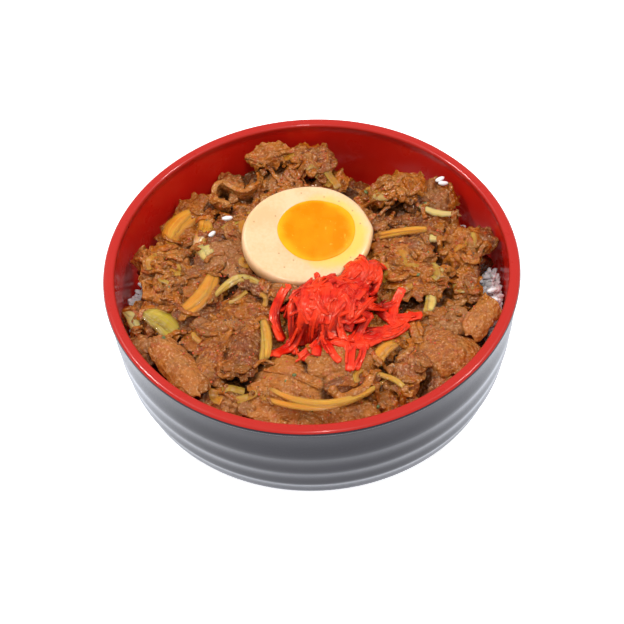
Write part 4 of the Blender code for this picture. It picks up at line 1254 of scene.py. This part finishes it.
def finish_strands(name, strands, spread, rough, draw):
    """Joins strands of beef as one piece, their colours varied by spread, and crumples rough ones."""
    made = join_copies(name, thread_faces, strands)
    keep_strand_lay(made, thread_u, thread_v, len(strands), 12.0, 4.0, 2.3)
    keep_by_copy(made, "border", [0.0])
    for tint in ("tone", "warm"):
        keep_by_copy(made, tint, [draw.uniform(0.5 - spread, 0.5 + spread) for _ in strands])
    close_seams(made)
    if rough:
        crumple(made, 1.8, 1.0)
        soften(made, 1)
    fit_in_bowl(made)
    finish_beef(made)
    return made


threads = [
    strand(over_heap(path, thickness * 0.3), width, thickness, 0.3, thread_u, thread_v)
    for path, width, thickness in STRANDS
]
for _ in range(THREADS):
    path = wander(draw, draw.uniform(1.6, 4.0))
    width = draw.uniform(0.6, 1.3)
    threads.append(strand(over_heap(path, 0.1), width, width * 0.6, 0.4, thread_u, thread_v))
beef_threads = finish_strands("beef_threads", threads, 0.2, False, draw)
ribbons = []
for _ in range(RIBBONS):
    line = over_heap(wander(draw, draw.uniform(1.8, 4.2)), 0.5)
    width = draw.uniform(1.8, 4.6)
    ribbons.append(strand(line, width, 1.2, draw.uniform(-0.9, 0.9), thread_u, thread_v))
# A ribbon lies across each onion strip near both its ends, so that it comes out from under the meat
for piece in STRIPS:
    for end in (-0.86, 0.86):
        sides = np.array((-4.5, -2.2, 0.0, 2.2, 4.5)) + draw.uniform(-1.5, 1.5)
        tip = strip_points(piece._replace(width=2.0), np.array([end]), np.zeros(1))[0]
        along = tip[0] + draw.uniform(-1.0, 1.0) + 0.1 * sides**2
        across = np.column_stack((along, tip[1] + sides, 0 * sides))
        across = turn_about_z(across, piece.heading, (piece.x, piece.y, 0.0))
        line = over_heap([tuple(place) for place in across[:, :2]], 0.2)
        width = draw.uniform(1.4, 2.8)
        ribbons.append(strand(line, width, 1.1, draw.uniform(-0.6, 0.6), thread_u, thread_v))
beef_ribbons = finish_strands("beef_ribbons", ribbons, 0.15, True, draw)

slivers = []
for _ in range(SLIVERS):
    line = over_heap(wander(draw, draw.uniform(1.5, 2.6)), 0.8)
    slivers.append(strand(line, draw.uniform(2.0, 4.4), 0.5, draw.uniform(-0.3, 0.3), thread_u, thread_v))
onion_slivers = join_copies("onion_slivers", thread_faces, slivers)
keep_strand_lay(onion_slivers, thread_u, thread_v, SLIVERS, 8.0, 4.0, 1.7)
thin = 0.62 + 0.38 * np.abs(np.cos(thread_v * math.pi + math.pi / 4.0)) ** 3
keep_on_points(onion_slivers, "border", np.tile(thin, SLIVERS))
keep_by_copy(onion_slivers, "tone", [draw.uniform(0.25, 0.85) for _ in slivers])
close_seams(onion_slivers)
fit_in_bowl(onion_slivers)
serve(onion_slivers, onion)


# The egg is soft-boiled, steeped in soy so that its skin is tan, and cut in half lengthways. The white is
# one firm cup with a softly rounded cut edge, and it holds the yolk in a hollow off its middle.
YOLK_LENGTH = 34.0
YOLK_WIDTH = 29.4
YOLK_OFFSET = (4.3, 1.0)
EGG_SEGMENTS = 144


def quarter_turns(count):
    """The angles that part a quarter turn into a count of equal steps, without its ends."""
    return [math.pi / 2.0 * step / count for step in range(1, count)]


def egg_rings():
    """Rings from the lowest point of the shell up over the cut face and down into the yolk's hollow.

    Each is the share of the way from the yolk's outline to the egg's, or below 0 inside the hollow, with the
    size of the ring as a share of its outline and its height in millimetres.
    """
    depth = EGG_WIDTH / 2.0
    rings = []
    for turn in quarter_turns(22):
        rings.append((1.0, math.sin(turn), -2.4 - (depth - 2.4) * math.cos(turn)))
    rounded = ((1.0, -2.4), (0.997, -1.6), (0.988, -0.95), (0.974, -0.45), (0.956, -0.14), (0.935, 0.0))
    rings += [(1.0, size, height) for size, height in rounded]
    for share in (0.82, 0.7, 0.55, 0.4, 0.25, 0.12, 0.04):
        rings.append((share, 0.935 + 0.065 * (1.0 - share), 0.2 * math.sin(math.pi * share)))
    rings += [(0.0, 1.0, -0.05), (0.0, 0.985, -0.3)]
    for turn in quarter_turns(12):
        rings.append((0.0, 0.97 * math.cos(turn), -0.5 - (YOLK_WIDTH / 2.0 - 1.0) * math.sin(turn)))
    return rings


def egg_outline(angle, share):
    """A point of the outline between the yolk's, share 0, and the white's, share 1."""
    wobble = 1.0 + 0.012 * np.sin(3.0 * angle + 1.0) + 0.008 * np.sin(5.0 * angle)
    yolk_x = YOLK_LENGTH / 2.0 * np.cos(angle) * wobble
    yolk_y = YOLK_WIDTH / 2.0 * np.sin(angle) * wobble
    blunt = np.where(np.cos(angle) > 0.0, 0.86, 1.0)
    white_x = EGG_LENGTH / 2.0 * np.sign(np.cos(angle)) * np.abs(np.cos(angle)) ** blunt
    white_y = EGG_WIDTH / 2.0 * np.sin(angle) * (1.0 - EGG_POINT * np.cos(angle))
    nick = np.exp(-(((angle + 0.20) / 0.16) ** 2))
    white_x = white_x + 0.8 * nick
    white_y = white_y + 1.1 * np.maximum(0.0, np.sin(angle))
    middle = np.array(YOLK_OFFSET)
    x = (yolk_x + middle[0]) * (1.0 - share) + white_x * share
    y = (yolk_y + middle[1]) * (1.0 - share) + white_y * share
    return x, y


def shape_by_rings(name, rings):
    """A ball whose rings, from its bottom up, are moved to (share, size, height) in the egg's frame."""
    bpy.ops.mesh.primitive_uv_sphere_add(segments=EGG_SEGMENTS, ring_count=len(rings) + 1, radius=1.0)
    piece = bpy.context.object
    piece.name = name
    ball = points_of(piece)
    angle = np.arctan2(ball[:, 1], ball[:, 0])
    order = (len(rings) + 1) * (1.0 - np.arccos(np.clip(ball[:, 2], -1.0, 1.0)) / math.pi)
    level = np.rint(order).astype(int)
    first, last = rings[0], rings[-1]
    table = np.array([(first[0], 0.0, first[2]), *rings, (last[0], 0.0, last[2])])
    share, size, height = table[level].T
    x, y = egg_outline(angle, share)
    middle = np.array(YOLK_OFFSET)[:, None] * (1.0 - share)
    x = middle[0] + (x - middle[0]) * size
    y = middle[1] + (y - middle[1]) * size
    turn = np.array(egg_frame())
    local = np.column_stack((x, y, height))
    keep_on_points(piece, "face", local)
    move_points(piece, (local @ turn[:3, :3].T + turn[:3, 3]) * MM)
    bpy.ops.object.shade_smooth()
    return piece


egg_white = shape_by_rings("egg_white_half", egg_rings())
albumen = Finish(
    "egg_white_finish", subsurface_weight=0.4, subsurface_scale=0.004, coat_weight=0.12,
    coat_roughness=0.15, subsurface_radius=(1.0, 0.75, 0.45),
)
at = albumen.lay("face")
cut_face = albumen.height(at).ramp(-3.2, -0.6)
cloudy = albumen.grain(0.012, detail=2.0)
cream = cloudy * 0.6 + albumen.grain(0.0014, detail=2.0) * 0.4
smear = albumen.grain(0.004, detail=3.0) * 5.0 + albumen.distance(at, (8.5, -1.5, 0.0))
inner = albumen.layer(
    albumen.blend(cream.ramp(0.35, 0.65), (0.79, 0.49, 0.25), (0.88, 0.57, 0.33)),
    (smear.ramp(16.0, 23.0, 0.85, 0.0), (0.94, 0.56, 0.07)),
)
stained = albumen.blend(cloudy.ramp(0.3, 0.7), (0.66, 0.38, 0.15), (0.80, 0.54, 0.27))
# A speck of seasoning lies in one in four of the cells of a flat pattern
flat_cells = {"feature": "F1", "voronoi_dimensions": "2D"}
dots, chance = [albumen.node("TexVoronoi", flat_cells, {"Scale": 0.21, "Vector": at}, out) for out in (0, 1)]
pick = albumen.node("SeparateColor", sockets={0: chance}, output=0)
seasoned = dots.ramp(0.05, 0.11, 1.0, 0.0) * pick.ramp(0.74, 0.76) * cut_face
shell_colour = albumen.blend(cut_face, stained, inner)
albumen.set("Base Color", albumen.blend(seasoned * 0.7, shell_colour, (0.45, 0.22, 0.08)))
albumen.set("Roughness", cloudy.ramp(0.3, 0.7, 0.30, 0.42))
albumen.bump(albumen.grain(0.003, detail=3.0), 0.00012, 0.5)
serve(egg_white, albumen, "egg_white")


# The yolk is set at its edge and still soft in the middle: a glossy orange ball cut through with the white,
# crowned a little over the cut face.
def yolk_rings():
    depth = YOLK_WIDTH / 2.0 - 1.6
    rings = []
    for turn in quarter_turns(14):
        rings.append((0.0, 0.985 * math.sin(turn), -0.6 - depth * math.cos(turn)))
    rings += [(0.0, 1.0, -0.35), (0.0, 1.008, -0.12), (0.0, 1.0, 0.03), (0.0, 0.965, 0.10)]
    for share in (0.92, 0.85, 0.75, 0.65, 0.55, 0.45, 0.35, 0.25, 0.15, 0.07):
        rings.append((0.0, share, 0.12 + 0.35 * (1.0 - share**2)))
    return rings


egg_yolk = shape_by_rings("egg_yolk_half", yolk_rings())
soft_yolk = Finish(
    "egg_yolk_finish", subsurface_weight=0.2, subsurface_scale=0.002, specular_ior_level=0.08,
    subsurface_radius=(1.0, 0.5, 0.1),
)
off = soft_yolk.distance(soft_yolk.lay("face"), (*YOLK_OFFSET, 0.0))
marble = soft_yolk.grain(0.007, detail=3.0)
curd = soft_yolk.grain(0.0016, detail=2.0).ramp(0.66, 0.74)
soft_yolk.set("Base Color", soft_yolk.layer(
    soft_yolk.blend(marble.ramp(0.3, 0.7), (0.90, 0.215, 0.0005), (0.96, 0.265, 0.001)),
    ((off + marble * 3.0).ramp(13.5, 18.0, 0.0, 0.9), (0.96, 0.42, 0.012)),
    (curd * 0.6, (0.95, 0.50, 0.05)),
))
soft_yolk.set("Roughness", marble.ramp(0.3, 0.7, 0.22, 0.36))
soft_yolk.bump(soft_yolk.grain(0.0022, detail=3.0), 0.00025, 0.6)
serve(egg_yolk, soft_yolk, "egg_yolk")


# The ginger is cut in flat matchsticks, pickled and dyed bright red, and dropped in a wet tangle beside the
# egg. In its middle the shreds cling together, and at its edge they come loose.
GINGER_FOOT = -4.0
# Its two lumps: middle x and y, reach in x and y, and crown
GINGER_LUMPS = ((7.5, -25.0, 19.0, 14.5, 6.0), (22.0, -10.0, 9.5, 9.0, 4.6))
SHRED_WIDTH = 3.9
SHRED_THICKNESS = 1.3
INNER_SHREDS = 84
FRAYS = 150
# The shreds that show singly: start and end, each x and y, and the bow between them
SHREDS = (
    ((-9, -13), (-13, -36), 5.0),
    ((-6, -16), (-8, -43), 2.0),
    ((-17.5, -47), (6, -27), -2.0),
    ((-7, -49), (8, -28), 3.0),
    ((13, -59), (24, -30), -3.0),
    ((20, -36), (41, -25), 4.0),
    ((38, -15), (34, -34), 3.0),
    ((25, -3), (22, -22), -4.0),
    ((15, -2), (29, -11), 3.0),
    ((2, -13), (18, -30), -3.0),
    ((7, -10), (22, -24), 4.0),
    ((26, -12), (14, -36), 3.0),
    ((2, -38), (22, -46), 3.0),
    ((30, -32), (45, -29), -2.0),
    ((-14, -22), (6, -18), 3.0),
    ((0, -26), (22, -16), -4.0),
    ((10, -22), (14, -50), 2.0),
    ((14, -44), (32, -36), -3.0),
    ((-2, -32), (0, -50), -2.0),
    ((18, -41), (39, -32), 3.0),
    ((22, -30), (36, -20), -2.0),
    ((16, -46), (31, -33), 2.0),
    ((26, -22), (38, -33), 2.0),
    ((4, -36), (10, -54), 2.0),
    ((15, -58), (18, -40), 2.0),
)


def ginger_top(x, y):
    """Height above the table of the pressed tangle, or of what carries the shreds outside it."""
    top = height_at(ginger_bed, x, y)
    for middle_x, middle_y, reach_x, reach_y, crown in GINGER_LUMPS:
        inside = 1.0 - ((x - middle_x) / reach_x) ** 2 - ((y - middle_y) / reach_y) ** 2
        dome = GINGER_FOOT + (crown - GINGER_FOOT) * np.sqrt(np.maximum(inside, 0.0))
        top = np.maximum(top, np.where(inside > 0.0, RIM_HEIGHT + dome, 0.0))
    return top


def shred_line(start, end, bow, lift):
    """A bowed line from start to end, each (x, y), that lies on the tangle and on what carries it."""
    share = np.linspace(0.0, 1.0, 13)[:, None]
    start, end = np.array(start, dtype=float), np.array(end, dtype=float)
    side = np.array((end[1] - start[1], start[0] - end[0]))
    side /= np.linalg.norm(side)
    line = start + (end - start) * share + side * bow * 4.0 * share * (1.0 - share)
    line[:, 0] += 0.8 * ripple(share[:, 0] * 3.0, start[0], start[1])
    line[:, 1] += 0.8 * ripple(share[:, 0] * 3.0, start[1], start[0])
    height = ginger_top(line[:, 0], line[:, 1]) + lift
    return np.column_stack((line, evened(height, 3)))


shred_u, shred_v, shred_faces = flat_pattern(22, 12)
ginger_rests_on = [*beef_pieces, *onion_pieces, egg_white, torn_scraps, beef_ribbons, beef_threads]
ginger_bed = softened(height_field(ginger_rests_on), 2.0)
draw = random.Random(31)
lines = [shred_line(start, end, bow, 0.7) for start, end, bow in SHREDS]
for index in range(INNER_SHREDS):
    # One inner shred in five lies in the side lump
    middle_x, middle_y, reach_x, reach_y, _ = GINGER_LUMPS[1 if index % 5 == 0 else 0]
    heading = draw.gauss(1.05, 0.5)
    reach = Vector((math.cos(heading), math.sin(heading)))
    reach = reach * draw.uniform(6.0, 12.0) * (reach_y / 14.5) ** 0.5
    off = math.sqrt(draw.random()) * 0.74
    angle = draw.uniform(0.0, math.tau)
    middle = Vector((middle_x + reach_x * off * math.cos(angle), middle_y + reach_y * off * math.sin(angle)))
    bow = draw.uniform(-3.5, 3.5)
    lines.append(shred_line(middle - reach, middle + reach, bow, draw.uniform(-0.8, 1.4)))
shreds = []
for line in lines:
    width = SHRED_WIDTH * draw.uniform(0.7, 1.25)
    twist = draw.uniform(-0.35, 0.35)
    shreds.append(strand(line, width, SHRED_THICKNESS * draw.uniform(0.8, 1.2), twist, shred_u, shred_v))
for _ in range(FRAYS):
    line = draw.choice(lines)
    first = draw.randint(0, 5)
    aside = (draw.uniform(-1.6, 1.6), draw.uniform(-1.6, 1.6), draw.uniform(0.4, 1.0))
    shreds.append(strand(line[first:first + 8] + aside, draw.uniform(0.7, 1.5), 0.7, 0.5, shred_u, shred_v))
ginger = join_copies("red_ginger_shreds", shred_faces, shreds)
keep_strand_lay(ginger, shred_u, shred_v, len(shreds), 18.0, 8.0, 3.7)
close_seams(ginger)
crumple(ginger, 1.3, 0.4)


def ginger_core(name, lump):
    """The clump under the loose shreds of one lump, pressed between them and what carries them."""
    middle_x, middle_y, reach_x, reach_y, _ = lump

    def outline(angle):
        reach = 1.0 / np.hypot(np.cos(angle) / reach_x, np.sin(angle) / reach_y)
        return 0.74 * reach * (1.0 + 0.2 * np.sin(5.0 * angle))

    def top(x, y, share):
        x, y = x + middle_x, y + middle_y
        rest = height_at(ginger_bed, x, y)
        crown = rest + (ginger_top(x, y) - rest) * (1.0 - share**4)
        return crown - RIM_HEIGHT - 1.2 + 0.8 * ripple(x / 3.0, y / 3.0, 5.0)

    def foot(x, y, share):
        return height_at(ginger_bed, x + middle_x, y + middle_y) - RIM_HEIGHT - 2.5

    core = reshaped_ball(name, 96, 40, outline, top, foot)
    move_points(core, points_of(core) + np.array((middle_x, middle_y, 0.0)) * MM)
    keep_on_points(core, "lay", points_of(core) / MM)
    return core


names = ("red_ginger_core", "red_ginger_side_core")
ginger_pieces = [ginger, *[ginger_core(name, lump) for name, lump in zip(names, GINGER_LUMPS)]]
ginger_field = height_field([*beef_pieces, egg_white, *ginger_pieces])
ginger_levels = [softened(ginger_field, reach) for reach, _ in GAP_REACHES]

pickled = Finish(
    "red_ginger_finish", subsurface_weight=0.12, subsurface_scale=0.0015, specular_ior_level=0.6,
    subsurface_radius=(1.0, 0.25, 0.15), specular_tint=(1.0, 0.62, 0.44),
)
fibre = pickled.grain(1.0, detail=3.0, vector=pickled.stretch(pickled.lay("lay"), (0.10, 1.6, 1.0)))
wash = pickled.grain(0.006, detail=3.0)
pickled.set("Base Color", pickled.layer(
    pickled.blend(wash.ramp(0.35, 0.65), (0.60, 0.006, 0.002), (0.90, 0.036, 0.006)),
    (fibre.ramp(0.52, 0.80, 0.0, 0.4), (1.0, 0.065, 0.018)),
    # Painted light on the crests of the tangle, then painted shade in its gaps
    (pickled.lay("ridge", "Fac").ramp(0.55, 1.0, 0.0, 0.45), (1.0, 0.070, 0.020)),
    (pickled.lay("deep", "Fac").ramp(0.06, 0.50, 0.0, 0.92), (0.28, 0.003, 0.002)),
))
pickled.set("Roughness", fibre.ramp(0.3, 0.7, 0.12, 0.30))
pickled.bump(fibre, 0.0007, 0.8)
for piece in ginger_pieces:
    keep_depths(piece, ginger_levels[:2])
    serve(piece, pickled, "red_ginger")


# Over the beef lie grains of rice that strayed up from the bed, and the seasoning: flakes of dried chilli,
# cracked black pepper and a few bits of green leek.
strays = []
top = height_field([*beef_pieces, torn_scraps, beef_threads, beef_ribbons])
for x, y, height, heading, tilt in STRAY_GRAINS:
    rest = max(float(height_at(top, x, y)) + 0.8, RIM_HEIGHT + height)
    strays.append(grain_at(grain_points, (x, y, rest), heading, tilt, 0.95))
serve(join_copies("rice_strays", grain_faces, strays), steamed)

# Each kind of seasoning: how many, their size, their dark and light colour, and how dull they are
SEASONING = (
    ("chilli_flakes", 240, 0.5, (0.40, 0.030, 0.006), (0.75, 0.10, 0.012), 0.25),
    ("pepper_specks", 130, 0.4, (0.020, 0.012, 0.008), (0.07, 0.045, 0.03), 0.5),
    ("leek_bits", 16, 1.1, (0.05, 0.08, 0.015), (0.16, 0.20, 0.05), 0.3),
)
# Where the first bits of leek lie
LEEK_PLACES = ((-35.6, 47.7), (-60.6, -3.6), (23.4, -70.7), (-29.2, -63.7), (-25.1, 58.2), (50.5, 6.0))

bpy.ops.mesh.primitive_ico_sphere_add(subdivisions=1, radius=1.0)
chip_points, chip_faces = pattern_piece()
draw = random.Random(47)
for name, count, chip_size, dark, light, dull in SEASONING:
    flake = Finish(name + "_finish", coat_weight=0.4)
    flake.set("Base Color", flake.blend(flake.grain(0.0012).ramp(0.3, 0.7), dark, light))
    flake.set("Roughness", flake.grain(0.0008).ramp(0.3, 0.7, dull, dull + 0.2))
    chips = []
    while len(chips) < count:
        x, y = place_within(draw, 0.95)
        if name == "leek_bits" and len(chips) < len(LEEK_PLACES):
            x, y = LEEK_PLACES[len(chips)]
        if over_egg(x, y):
            continue
        size = chip_size * draw.uniform(0.6, 1.3)
        flat = np.array((size, size * draw.uniform(0.5, 1.0), size * 0.30))
        spun = Matrix.Rotation(draw.uniform(0, math.tau), 3, "Z")
        lie = spun @ Matrix.Rotation(draw.uniform(-0.5, 0.5), 3, "X")
        place = (x, y, float(height_at(top, x, y)) + 0.15)
        chips.append((chip_points * flat) @ np.array(lie).T + place)
    serve(join_copies(name, chip_faces, chips), flake)
